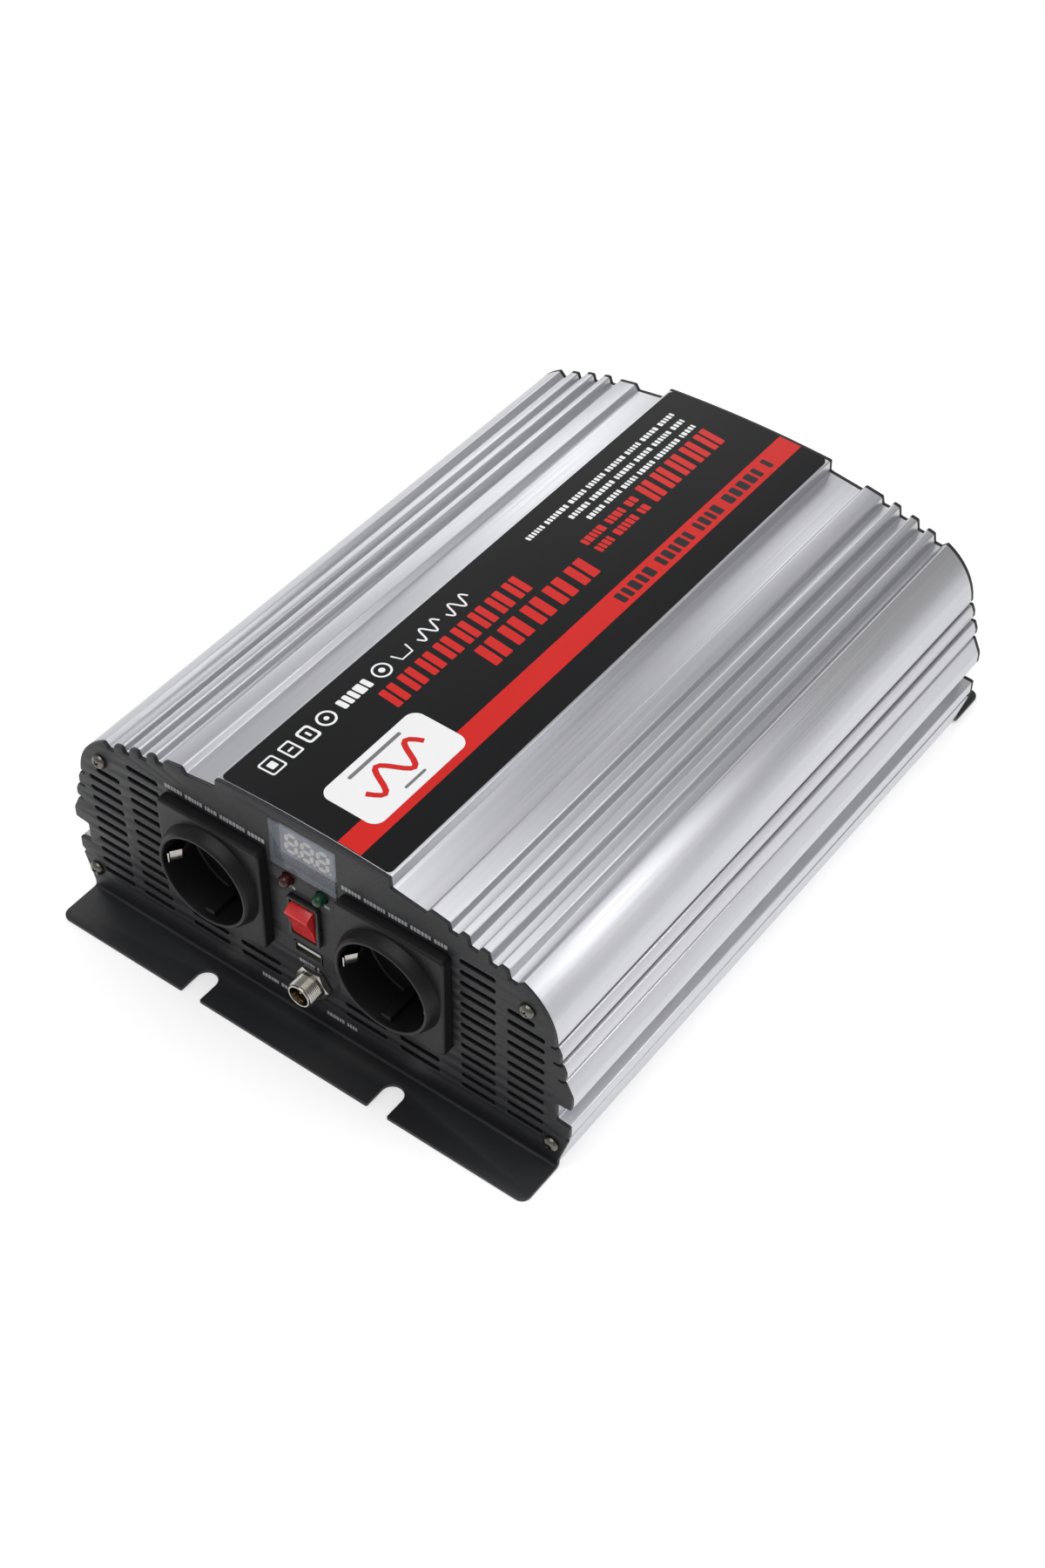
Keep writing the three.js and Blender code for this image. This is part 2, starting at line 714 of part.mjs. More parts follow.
function switchBody() {
  const bezel = alongY(rectangle(15, 21, 1), BEZEL_FRONT, BEZEL_BACK);
  const body = alongY(rectangle(13, 19.2), BEZEL_FRONT + 1, 16);
  const well = alongY(rectangle(11.6, 18), BEZEL_FRONT - 1, 6);
  const pivotHole = rodX(1.4, -8, 8, 0, 0, 12);
  const tabs = [-6, 0, 6].map((z) => box([-2.4, 2.4], [15.5, 23], [z - 0.4, z + 0.4]));
  return cut(join(bezel, body, ...tabs), well, pivotHole);
}

// Two flat facets that meet in a shallow valley; the ends are arcs about the pivot.
function rockerSwitch() {
  const valley = -3.8;
  const reach = 7.7;
  const endFace = valley - reach * Math.tan(ROCKER_FACET);
  const arcPoint = (degrees) => {
    const angle = THREE.MathUtils.degToRad(degrees);
    return [-ROCKER_ARC * Math.sin(angle), ROCKER_ARC * Math.cos(angle)];
  };
  const upper = [[endFace, reach, 0.6], arcPoint(12), arcPoint(0), arcPoint(-12), arcPoint(-22)];
  const lower = upper.map(([y, z, radius]) => [y, -z, radius]).reverse();
  const section = [[valley, 0], ...upper, ...lower].reverse();
  const rocker = alongX(outline(section), -ROCKER_HALF_WIDTH, ROCKER_HALF_WIDTH);
  return join(rocker, rodX(1.2, -6.2, 6.2, 0, 0, 10));
}

add("switch_body", switchBody(), "blackPlastic", SWITCH_X, PIVOT_Y, SWITCH_Z);
const rocker = add("switch_rocker", rockerSwitch(), "redPlastic", SWITCH_X, PIVOT_Y, SWITCH_Z);
rocker.rotation.x = ROCKER_TILT; // at rest the lower end is pressed in

// ---- USB port and remote connector -----------------------------------------------------------
function usbShell() {
  const tube = alongY(rectangle(13.1, 5.7, 0.5), -0.2, 14);
  return cut(tube, alongY(rectangle(12.3, 4.9, 0.3), -1, 15));
}

// Insulating block that closes the shell's back, with the contact tongue in front of it.
function usbInsert() {
  const block = alongY(rectangle(11.6, 4.2), 10, 15);
  const tongue = alongY(rectangle(11.1, 1.8, 0, 0, 1), 1.2, 10.5);
  return join(block, tongue);
}

const REMOTE_LENGTH = 10;

function remoteShell() {
  return turned(
    [
      [4.4, -1],
      [4.4, -REMOTE_LENGTH],
      [5.2, -REMOTE_LENGTH],
      [5.75, -REMOTE_LENGTH + 0.6],
      [5.75, SHEET + GAP],
      [7.6, SHEET + GAP],
      [7.6, SHEET + GAP + 2],
      [5.3, SHEET + GAP + 2],
      [5.3, 9],
      [3.9, 9],
      [3.9, -1],
      [4.4, -1],
    ],
    20,
  );
}

function remoteNut() {
  return cut(alongY(hexagon(8.3), -2.8, -GAP), rodY(6.05, -4, 1, 0, 0, 24));
}

function remoteInsert() {
  return turned(
    [
      [0, -3],
      [4.1, -3],
      [4.1, -1.3],
      [3.6, -1.3],
      [3.6, 11],
      [0, 11],
    ],
    16,
  );
}

add("usb_shell", usbShell(), "nickel", USB_X, PANEL_FRONT, USB_Z);
add("usb_insert", usbInsert(), "palePlastic", USB_X, PANEL_FRONT, USB_Z);
add("remote_connector_shell", remoteShell(), "nickel", REMOTE_X, PANEL_FRONT, REMOTE_Z);
add("remote_connector_nut", remoteNut(), "nickel", REMOTE_X, PANEL_FRONT, REMOTE_Z);
add("remote_connector_insert", remoteInsert(), "blackPlastic", REMOTE_X, PANEL_FRONT, REMOTE_Z);

// ---- Electronics inside ----------------------------------------------------------------------
const COMPONENT_SEAT = BOARD_TOP + GAP;

function mainBoard() {
  return box([-103, 103], [-112, 112], [BOARD_BOTTOM, BOARD_TOP]);
}

// Ferrite core with its winding standing out at the front and back of the window.
function transformer() {
  const core = box([-24, 24], [-10, 10], [0, 42]);
  const winding = box([-15, 15], [-19, 19], [7, 35]);
  return join(core, winding);
}

function toroidChoke() {
  const ring = new THREE.TorusGeometry(15, 7, 8, 16);
  const base = rodZ(19, -7, -5, 0, 0, 16);
  return join(ring, base).translate(0, 0, 7);
}

function capacitor(radius, height) {
  return rodZ(radius, 0, height, 0, 0, 16);
}

// A bar that spans a row of flat power transistors, drilled for its clamp screws.
function transistorBar(side) {
  const wall = 109.6;
  const bar = box([wall - 6, wall], [-88, 31], [26, 36]);
  const transistors = clampScrewPositions().flatMap((y) =>
    [y - 11, y + 11].map((at) => box([wall - 10, wall - 5], [at - 5, at + 5], [14, 31])),
  );
  const holes = clampScrewPositions().map((y) => rodX(1.8, wall - 12, wall + 2, y, CLAMP_SCREW_Z, 8));
  const geometry = cut(join(bar, ...transistors), ...holes);
  return side > 0 ? geometry : geometry.rotateZ(Math.PI).translate(0, -57, 0);
}

add("main_board", mainBoard(), "board");
add("left_transformer", transformer(), "ferrite", -42, 30, COMPONENT_SEAT);
add("right_transformer", transformer(), "ferrite", 42, 30, COMPONENT_SEAT);
add("output_choke", toroidChoke(), "copperWire", 0, -75, COMPONENT_SEAT);
add("input_capacitor", capacitor(11, 36), "sleeve", 0, 85, COMPONENT_SEAT);
add("output_capacitor", capacitor(14, 42), "sleeve", 0, -25, COMPONENT_SEAT);
add("right_transistor_bar", transistorBar(1), "aluminium");
add("left_transistor_bar", transistorBar(-1), "aluminium");

// ---- Fan -------------------------------------------------------------------------------------
// The fan's origin is on its axis, on the inner face of the rear panel. It fills y = -25 to 0.
const MOTOR_MOUNT_RADIUS = 14;
const MOTOR_MOUNT_THICKNESS = 3;
const SHAFT_RADIUS = 1.5;

function fanFrame() {
  const front = -GAP - FAN_DEPTH;
  const frame = alongY(rectangle(FAN_SIZE, FAN_SIZE, 4), front, -GAP);
  const duct = rodY(DUCT_RADIUS, front - 1, 1, 0, 0, 36);
  const screwHoles = [-1, 1].flatMap((sx) =>
    [-1, 1].map((sz) =>
      rodY(2.2, front - 1, 1, sx * FAN_SCREW_OFFSET, sz * FAN_SCREW_OFFSET, 8),
    ),
  );
  const mount = rodY(MOTOR_MOUNT_RADIUS, front, front + MOTOR_MOUNT_THICKNESS, 0, 0, 20);
  const strutReach = [MOTOR_MOUNT_RADIUS - 2, DUCT_RADIUS + 1.5];
  const strutDepth = [front, front + MOTOR_MOUNT_THICKNESS];
  const struts = [1, 3, 5, 7].map((k) => box(strutReach, strutDepth, [-2, 2]).rotateY((k * Math.PI) / 4));
  const bearing = rodY(SHAFT_RADIUS + 0.25, front - 1, front + 5, 0, 0, 10);
  return cut(join(cut(frame, duct, ...screwHoles), mount, ...struts), bearing);
}

function fanRotor() {
  const front = -GAP - FAN_DEPTH + MOTOR_MOUNT_THICKNESS + 0.8;
  const back = -GAP - 1.5;
  const middle = (front + back) / 2;
  const hub = rodY(16, front, back, 0, 0, 20);
  const shaft = rodY(SHAFT_RADIUS, -GAP - FAN_DEPTH + 0.5, front + 1, 0, 0, 8);
  const blades = Array.from({ length: 7 }, (_, k) => {
    const blade = new THREE.BoxGeometry(22, 1.6, 20);
    blade.rotateX(THREE.MathUtils.degToRad(42));
    blade.translate(25.4, middle, 0);
    return blade.rotateY((k * 2 * Math.PI) / 7);
  });
  return join(hub, shaft, ...blades);
}

add("fan_frame", fanFrame(), "blackPlastic", 0, -PANEL_BACK, FAN_Z);
add("fan_rotor", fanRotor(), "blackPlastic", 0, -PANEL_BACK, FAN_Z);

// ---- Battery terminals and earth screw -------------------------------------------------------
// A terminal's origin is on its axis, on the outer face of the rear panel, and +Y points out.
const STUD_RADIUS = 4;
const STUD_BORE = 4.3;
const KNOB_BACK = 8.2;
const KNOB_FRONT = FLANGE_DEPTH - 0.3; // the knobs stay behind the flange's edge

function terminalInsulator() {
  return turned(
    [
      [STUD_BORE, -7],
      [7.4, -7],
      [7.4, GAP],
      [13, GAP],
      [13, 3.4],
      [12.2, 4.2],
      [STUD_BORE, 4.2],
      [STUD_BORE, -7],
    ],
    16,
  );
}

function terminalPost() {
  return turned(
    [
      [0, -24],
      [STUD_RADIUS, -24],
      [STUD_RADIUS, 4.2 + GAP],
      [8, 4.2 + GAP],
      [8, 6.1],
      [STUD_RADIUS, 6.1],
      [STUD_RADIUS, KNOB_FRONT - 2.3],
      [STUD_RADIUS - 0.8, KNOB_FRONT - 1.5],
      [0, KNOB_FRONT - 1.5],
    ],
    12,
  );
}

function terminalWasher() {
  return turned(
    [
      [STUD_BORE, 6.4],
      [9, 6.4],
      [9, KNOB_BACK - GAP],
      [STUD_BORE, KNOB_BACK - GAP],
      [STUD_BORE, 6.4],
    ],
    16,
  );
}

function terminalKnob() {
  const lobes = new THREE.Shape(
    Array.from({ length: TERMINAL_KNOB_LOBES * 4 }, (_, i) => {
      const angle = (i * 2 * Math.PI) / (TERMINAL_KNOB_LOBES * 4);
      const radius = 10.2 + 0.6 * Math.cos(angle * TERMINAL_KNOB_LOBES);
      return new THREE.Vector2(radius * Math.cos(angle), radius * Math.sin(angle));
    }),
  );
  const bore = rodY(STUD_BORE, KNOB_BACK - 1, KNOB_FRONT - 1.2, 0, 0, 16);
  return cut(alongY(lobes, KNOB_BACK, KNOB_FRONT), bore);
}

function addTerminal(name, x, finish) {
  const terminal = new THREE.Group();
  terminal.position.set(x, -PANEL_FRONT, TERMINAL_Z);
  caseGroup.add(terminal);
  terminal.add(add(`${name}_terminal_insulator`, terminalInsulator(), finish));
  terminal.add(add(`${name}_terminal_post`, terminalPost(), "brass"));
  terminal.add(add(`${name}_terminal_washer`, terminalWasher(), "brass"));
  terminal.add(add(`${name}_terminal_knob`, terminalKnob(), finish));
}

// Hexagon head screw with its washer face, for the vehicle's earth lead.
function earthScrew() {
  const washer = rodY(6.6, GAP, 1.6, 0, 0, 20);
  const shank = rodY(2.8, -9, 1, 0, 0, 12);
  return join(alongY(hexagon(5.6), 1.4, 5.4), washer, shank);
}

addTerminal("positive", -TERMINAL_X, "redPlastic");
addTerminal("negative", TERMINAL_X, "blackPlastic");
add("earth_screw", earthScrew(), "zinc", EARTH_X, -PANEL_FRONT, EARTH_Z);

export default inverter;
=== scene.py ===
"""Looks of a power inverter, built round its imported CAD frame.

Shapes are made in millimetres in the case's own axes: x to the right, y from front to back, and z
up from the upper face of the mounting flanges. mesh_piece() turns them into metres in the row frame.
"""

import math
import random

import bmesh
import bpy
from mathutils import Matrix, Vector
from mathutils.geometry import tessellate_polygon


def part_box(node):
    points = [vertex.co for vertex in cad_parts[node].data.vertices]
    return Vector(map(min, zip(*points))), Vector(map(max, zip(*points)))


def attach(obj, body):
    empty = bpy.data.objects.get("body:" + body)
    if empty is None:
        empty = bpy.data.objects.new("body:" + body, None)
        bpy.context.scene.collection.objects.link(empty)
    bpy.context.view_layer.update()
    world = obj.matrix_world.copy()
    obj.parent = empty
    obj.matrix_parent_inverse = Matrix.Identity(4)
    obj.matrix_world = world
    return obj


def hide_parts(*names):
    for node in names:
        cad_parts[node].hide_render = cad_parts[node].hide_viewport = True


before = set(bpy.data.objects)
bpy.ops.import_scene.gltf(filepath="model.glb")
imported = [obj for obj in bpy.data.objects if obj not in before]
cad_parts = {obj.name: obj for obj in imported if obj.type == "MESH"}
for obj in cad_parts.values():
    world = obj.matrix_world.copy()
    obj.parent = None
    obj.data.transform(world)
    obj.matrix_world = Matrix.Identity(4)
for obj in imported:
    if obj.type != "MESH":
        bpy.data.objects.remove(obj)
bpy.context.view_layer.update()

MM = 0.001
SHEET = 1.5
GAP = 0.3
PANEL_FRONT = -147.0
CASE_END = 145.2
CHORD_ERROR = 0.01
MERGE = 1e-4
MITRE_LIMIT = 0.35
CORNERS = [(-1, -1), (-1, 1), (1, -1), (1, 1)]


# ---- Places of the CAD nodes ----
def centre(node):
    """Middle of a CAD node's box, in millimetres in the case's axes."""
    lift = Vector((0, 0, SHEET))
    low, high = [Vector(corner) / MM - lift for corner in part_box(node)]
    return (low + high) / 2


# ---- Outlines ----
def rounded(corners, closed=True):
    """Replaces each corner (x, y, radius) by its arc; a corner without radius stays sharp."""
    points = [Vector(corner[:2]) for corner in corners]
    count = len(points)
    result = []
    for i, corner in enumerate(corners):
        radius = corner[2] if len(corner) > 2 else 0
        at_end = not closed and i in (0, count - 1)
        if radius == 0 or at_end:
            result.append(points[i])
            continue
        back = (points[i - 1] - points[i]).normalized()
        ahead = (points[(i + 1) % count] - points[i]).normalized()
        turn = math.pi - back.angle(ahead)
        middle = points[i] + (back + ahead).normalized() * (radius / math.cos(turn / 2))
        start = points[i] + back * radius * math.tan(turn / 2) - middle
        direction = 1 if ahead.x * back.y - ahead.y * back.x > 0 else -1
        step = 2 * math.acos(1 - min(CHORD_ERROR / radius, 1))
        steps = max(2, math.ceil(turn / step))
        for k in range(steps + 1):
            result.append(Matrix.Rotation(direction * turn * k / steps, 2) @ start + middle)
    return result


def counterclockwise(loop):
    area = sum(a.x * b.y - b.x * a.y for a, b in zip(loop, loop[1:] + loop[:1]))
    return list(loop) if area > 0 else list(reversed(loop))


def rectangle(width, height, radius=0.0, x=0.0, y=0.0):
    sides = [(-1, -1), (1, -1), (1, 1), (-1, 1)]
    return rounded([(x + sx * width / 2, y + sy * height / 2, radius) for sx, sy in sides])


def circle(radius, x=0.0, y=0.0, sides=48):
    turns = [2 * math.pi * k / sides for k in range(sides)]
    return [Vector((x + radius * math.cos(t), y + radius * math.sin(t))) for t in turns]


def polygon(radius, sides, corner=0.0, turn=0.0):
    angles = [turn + 2 * math.pi * k / sides for k in range(sides)]
    return rounded([(radius * math.cos(a), radius * math.sin(a), corner) for a in angles])


def ribbon(points, width):
    """Outline of a line of even width through the points."""
    left, right = [], []
    for i, point in enumerate(points):
        along = (points[min(i + 1, len(points) - 1)] - points[max(i - 1, 0)]).normalized()
        aside = Vector((-along.y, along.x)) * width / 2
        left.append(point + aside)
        right.append(point - aside)
    return right + list(reversed(left))


def left_of(right_half):
    return [(-c[0], *c[1:]) for c in reversed(right_half)]


# ---- Solids in bmesh ----
def inset(loop, distance):
    """Moves each point of a loop to its left, so that the loop keeps its corners."""
    if distance == 0:
        return loop
    moved = []
    count = len(loop)
    for i, point in enumerate(loop):
        before = (point - loop[i - 1]).normalized()
        after = (loop[(i + 1) % count] - point).normalized()
        n1, n2 = Vector((-before.y, before.x)), Vector((-after.y, after.x))
        moved.append(point + (n1 + n2) * distance / max(MITRE_LIMIT, 1 + n1.dot(n2)))
    return moved


def add_prism(bm, outer, holes, low, high, bevel_low=0.0, bevel_high=0.0, steps=3):
    """A solid between two heights, with its end edges rounded. The outline is drawn in x and y."""
    loops = [counterclockwise(outer)]
    loops += [list(reversed(counterclockwise(hole))) for hole in holes]
    loops = [[p for i, p in enumerate(loop) if (p - loop[i - 1]).length > MERGE] for loop in loops]
    quarter = [math.pi / 2 * k / steps for k in range(steps + 1)]
    levels = []
    for a in quarter if bevel_low else [math.pi / 2]:
        levels.append((bevel_low * (1 - math.sin(a)), low + bevel_low * (1 - math.cos(a))))
    for a in reversed(quarter) if bevel_high else [math.pi / 2]:
        levels.append((bevel_high * (1 - math.sin(a)), high - bevel_high * (1 - math.cos(a))))
    # Marks the rounded edge rings, where the panel paint turns paler: wear plus a painted highlight.
    edge_mark = bm.verts.layers.float.get("edge") or bm.verts.layers.float.new("edge")
    rings = []
    for distance, height in levels:
        ring = []
        for loop in loops:
            ring.append([bm.verts.new((p.x, p.y, height)) for p in inset(loop, distance)])
            for vertex in ring[-1]:
                vertex[edge_mark] = 1.0 if 0 < distance < 0.8 * max(bevel_low, bevel_high) else 0.0
        rings.append(ring)
    for lower, upper in zip(rings, rings[1:]):
        for loop_low, loop_high in zip(lower, upper):
            for i in range(len(loop_low)):
                quad = (loop_low[i - 1], loop_low[i], loop_high[i], loop_high[i - 1])
                bm.faces.new(quad).smooth = True
    for ring, flip in ((rings[0], True), (rings[-1], False)):
        flat = [v for loop in ring for v in loop]
        triangles = tessellate_polygon([[v.co for v in loop] for loop in ring])
        for triangle in triangles:
            corners = [flat[k] for k in triangle]
            if len(set(corners)) == 3:
                face = bm.faces.new(corners)
                face.smooth = False
                face.normal_update()
                if (face.normal.z > 0) == flip:
                    face.normal_flip()
    return bm


def prism(outer, holes, low, high, bevel_low=0.0, bevel_high=0.0, steps=3):
    return add_prism(bmesh.new(), outer, holes, low, high, bevel_low, bevel_high, steps)


def lathe(profile, sides=64):
    """A closed turned solid round the z axis. The profile is (radius, height, fillet radius)."""
    bm = bmesh.new()
    rings = []
    turns = [2 * math.pi * k / sides for k in range(sides)]
    for p in rounded(profile, closed=False):
        if p.x < 1e-6:
            rings.append([bm.verts.new((0, 0, p.y))])
            continue
        ring = [bm.verts.new((p.x * math.cos(t), p.x * math.sin(t), p.y)) for t in turns]
        rings.append(ring)
    if len(rings[0]) > 1 and len(rings[-1]) > 1:
        rings.append(rings[0])
    for a, b in zip(rings, rings[1:]):
        for i in range(sides):
            corners = [a[i % len(a)], a[(i + 1) % len(a)], b[(i + 1) % len(b)], b[i % len(b)]]
            corners = list(dict.fromkeys(corners))
            if len(corners) > 2:
                bm.faces.new(corners).smooth = True
    return bm


ALONG_Y = Matrix(((1, 0, 0, 0), (0, 0, 1, 0), (0, 1, 0, 0), (0, 0, 0, 1)))  # z becomes y
ALONG_X = Matrix(((0, 0, 1, 0), (1, 0, 0, 0), (0, 1, 0, 0), (0, 0, 0, 1)))  # x, y become y, z
HALF_TURN = Matrix.Rotation(math.pi, 4, "Z")


def sliced(bm, place, normal):
    """Adds edges where a plane crosses the piece, so that it can be bent there."""
    everything = bm.verts[:] + bm.edges[:] + bm.faces[:]
    point = [place * n for n in normal]
    bmesh.ops.bisect_plane(bm, geom=everything, plane_co=point, plane_no=normal)


def moved(bm, matrix):
    bm.transform(matrix)
    return bm


def at(x, y, z):
    return Matrix.Translation((x, y, z))


# ---- Pieces ----
def mesh_piece(name, bm, material, body="case", replaces=(), angle=30):
    """Turns a bmesh in millimetres into a named piece of the object."""
    bmesh.ops.remove_doubles(bm, verts=bm.verts, dist=MERGE)
    bmesh.ops.dissolve_degenerate(bm, edges=bm.edges, dist=1e-5)
    bmesh.ops.recalc_face_normals(bm, faces=bm.faces)
    bm.transform(Matrix.Scale(MM, 4) @ at(0, 0, SHEET))
    mesh = bpy.data.meshes.new(name)
    bm.to_mesh(mesh)
    bm.free()
    mesh.set_sharp_from_angle(angle=math.radians(angle))
    mesh.materials.append(material)
    piece = bpy.data.objects.new(name, mesh)
    bpy.context.scene.collection.objects.link(piece)
    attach(piece, body)
    if replaces:
        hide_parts(*replaces)


def stand_in(node, bm, material, body="case", name=None):
    """A finer piece in the place of a CAD node."""
    mesh_piece(name or f"{node}_fine", bm, material, body, [node])


def mesh_of(bm):
    mesh = bpy.data.meshes.new("pattern")
    bm.to_mesh(mesh)
    bm.free()
    return mesh


def copy_of(mesh):
    bm = bmesh.new()
    bm.from_mesh(mesh)
    return bm


def scratch_object(bm):
    bmesh.ops.remove_doubles(bm, verts=bm.verts, dist=MERGE)
    bmesh.ops.recalc_face_normals(bm, faces=bm.faces)
    mesh = bpy.data.meshes.new("scratch")
    bm.to_mesh(mesh)
    bm.free()
    holder = bpy.data.objects.new("scratch", mesh)
    bpy.context.scene.collection.objects.link(holder)
    return holder


def combine(first, operation, *others):
    """Joins (UNION), cuts (DIFFERENCE) or trims (INTERSECT) solids, and gives a new bmesh."""
    body = scratch_object(first)
    tools = [scratch_object(other) for other in others]
    for tool in tools:
        step = body.modifiers.new("step", "BOOLEAN")
        step.operation = operation
        step.solver = "EXACT"
        step.object = tool
    graph = bpy.context.evaluated_depsgraph_get()
    result = bmesh.new()
    result.from_object(body, graph)
    for holder in [body, *tools]:
        mesh = holder.data
        bpy.data.objects.remove(holder)
        bpy.data.meshes.remove(mesh)
    return result


# ---- Materials ----
class Nodes:
    """A material whose Principled BSDF is driven by noise in object space."""

    def __init__(self, name, color, roughness, metallic=0.0, **sockets):
        self.material = bpy.data.materials.new(name)
        self.material.use_nodes = True
        self.tree = self.material.node_tree
        self.surface = self.tree.nodes["Principled BSDF"]
        self.color = color
        self.roughness = roughness
        self.set("Base Color", (*color, 1))
        self.set("Roughness", roughness)
        self.set("Metallic", metallic)
        for socket, value in sockets.items():
            self.set(socket.replace("_", " ").title().replace("Ior", "IOR"), value)
        self.place = self.node("ShaderNodeTexCoord").outputs["Object"]
        self.height = None

    def set(self, socket, value):
        self.surface.inputs[socket].default_value = value

    def node(self, kind, **values):
        made = self.tree.nodes.new(kind)
        for key, value in values.items():
            setattr(made, key, value)
        return made

    def link(self, output, socket):
        self.tree.links.new(output, socket)

    def noise(self, scale, stretch=(1, 1, 1), detail=3.0, roughness=0.5):
        """Noise whose features are about 1 / scale metres, drawn out where stretch is below 1."""
        mapping = self.node("ShaderNodeMapping")
        mapping.inputs["Scale"].default_value = stretch
        self.link(self.place, mapping.inputs["Vector"])
        noise = self.node("ShaderNodeTexNoise")
        noise.inputs["Scale"].default_value = scale
        noise.inputs["Detail"].default_value = detail
        noise.inputs["Roughness"].default_value = roughness
        self.link(mapping.outputs["Vector"], noise.inputs["Vector"])
        return noise.outputs["Fac"]

    def ranged(self, value, low, high, from_low=0.3, from_high=0.7):
        reach = self.node("ShaderNodeMapRange")
        reach.inputs["From Min"].default_value = from_low
        reach.inputs["From Max"].default_value = from_high
        reach.inputs["To Min"].default_value = low
        reach.inputs["To Max"].default_value = high
        self.link(value, reach.inputs["Value"])
        return reach.outputs["Result"]

    def blend(self, share, other):
        """Lays another colour over the base colour, by a share between 0 and 1."""
        mix = self.node("ShaderNodeMix", data_type="RGBA")
        below = self.surface.inputs["Base Color"]
        if below.links:
            self.link(below.links[0].from_socket, mix.inputs[6])
        else:
            mix.inputs[6].default_value = below.default_value
        mix.inputs[7].default_value = (*other, 1)
        self.link(share, mix.inputs[0])
        self.link(mix.outputs[2], below)

    def tint(self, value, other, share=1.0):
        """Blends the base colour towards another colour where the value is high."""
        self.blend(self.ranged(value, 0, share), other)

    def rough(self, value, low, high):
        self.link(self.ranged(value, low, high), self.surface.inputs["Roughness"])

    def bump(self, value, strength, distance):
        bump = self.node("ShaderNodeBump")
        bump.inputs["Strength"].default_value = strength
        bump.inputs["Distance"].default_value = distance
        self.link(value, bump.inputs["Height"])
        if self.height:
            self.link(self.height, bump.inputs["Normal"])
        self.height = bump.outputs["Normal"]
        self.link(self.height, self.surface.inputs["Normal"])

    def edge_wear_and_highlight(self, other, share):
        """Paler paint along the rounded edges that add_prism marks, in patches: partly wear, partly a
        painted highlight along the rims.
        """
        edges = self.node("ShaderNodeAttribute", attribute_name="edge").outputs["Fac"]
        spots = self.ranged(self.noise(160, detail=2), 0.3 * share, share, 0.35, 0.6)
        both = self.node("ShaderNodeMath", operation="MULTIPLY")
        self.link(edges, both.inputs[0])
        self.link(spots, both.inputs[1])
        self.blend(both.outputs[0], other)


def anodised_aluminium(name, color):
    look = Nodes(name, color, 0.36, 1.0)
    grain = look.noise(1500, (1, 0.006, 1), 4, 0.6)
    streaks = look.noise(260, (1, 0.004, 1), 3, 0.55)
    blast = look.noise(3800, (1, 0.6, 1), 2)
    clouds = look.noise(14, (1, 0.35, 1), 2)
    look.tint(streaks, tuple(c * 0.88 for c in color), 0.8)
    look.tint(clouds, tuple(c * 1.05 for c in color), 0.4)
    look.rough(grain, 0.36, 0.5)
    look.bump(grain, 0.22, 0.00006)
    look.bump(blast, 0.16, 0.00004)
    return look.material


def powder_coat(name, color):
    look = Nodes(name, color, 0.5, 0.0, specular_ior_level=0.4)
    peel = look.noise(1300, detail=2)
    fine = look.noise(5200, detail=2)
    look.tint(look.noise(22, detail=2), tuple(c * 1.5 for c in color), 0.5)
    look.rough(peel, 0.42, 0.56)
    look.bump(peel, 0.3, 0.00009)
    look.bump(fine, 0.2, 0.00004)
    # Paler rounded rims in patches, partly wear and partly a painted highlight.
    look.edge_wear_and_highlight((0.09, 0.09, 0.095), 0.5)
    return look.material


def moulded(name, color, roughness, texture=0.15, **sockets):
    look = Nodes(name, color, roughness, 0.0, **sockets)
    spark = look.noise(2600, detail=2)
    flow = look.noise(60, (1, 1, 0.3), 3)
    look.tint(flow, tuple(min(1, c * 1.25 + 0.002) for c in color), 0.5)
    look.rough(spark, roughness - 0.05, roughness + 0.07)
    look.bump(spark, texture, 0.00005)
    return look.material


def film(name, color, roughness, shade=0.8, specular=0.25):
    look = Nodes(name, color, roughness, 0.0, specular_ior_level=specular)
    fine = look.noise(2400, detail=3)
    look.tint(look.noise(35, (1, 0.4, 1), 2), tuple(c * shade for c in color), 0.7)
    look.rough(fine, roughness - 0.05, roughness + 0.06)
    look.bump(fine, 0.12, 0.00003)
    return look.material


def plated(name, color, low, high, turned=0.2):
    look = Nodes(name, color, (low + high) / 2, 1.0)
    marks = look.noise(2100, detail=3)
    look.tint(look.noise(420, detail=2), tuple(c * 0.8 for c in color), 0.7)
    look.rough(marks, low, high)
    look.bump(marks, turned, 0.00004)
    return look.material


def lens(name, color, alpha, roughness=0.08, coat=0.6):
    look = Nodes(name, color, roughness, 0.0, alpha=alpha, coat_weight=coat, coat_roughness=0.05)
    haze = look.noise(900, detail=2)
    look.tint(look.noise(300, detail=2), tuple(c * 0.82 for c in color), 0.6)
    look.rough(haze, roughness, roughness + 0.08)
    look.bump(haze, 0.05, 0.00002)
    return look.material


CASE = anodised_aluminium("case_anodised", (0.62, 0.622, 0.65))
CLAMP = anodised_aluminium("clamp_aluminium", (0.6, 0.6, 0.6))
PANEL = powder_coat("panel_powder_coat", (0.0115, 0.012, 0.0138))
FILM = film("label_black_film", (0.0045, 0.0047, 0.0056), 0.42, 1.6, 0.14)
RED_INK = film("label_red_ink", (0.69, 0.013, 0.009), 0.4, 0.85)
WHITE_INK = film("label_white_ink", (0.93, 0.93, 0.94), 0.45, 0.96)
GREY_INK = film("label_grey_ink", (0.2, 0.2, 0.21), 0.45, 0.85)
BLACK_INK = film("label_black_ink", (0.012, 0.011, 0.012), 0.45, 1.5)
PANEL_INK = film("panel_white_ink", (0.4, 0.4, 0.41), 0.5, 0.7)
SOCKET = moulded("socket_black_plastic", (0.0065, 0.0065, 0.0075), 0.4, 0.12, specular_ior_level=0.24)
FITTING = moulded("fitting_black_plastic", (0.012, 0.012, 0.013), 0.42, 0.15)
METER = moulded("meter_housing", (0.24, 0.26, 0.3), 0.5, 0.1)
SEGMENT = moulded("meter_segments", (0.95, 0.86, 0.76), 0.4, 0.05)
WINDOW = lens("window_lens", (0.4, 0.43, 0.5), 0.24)
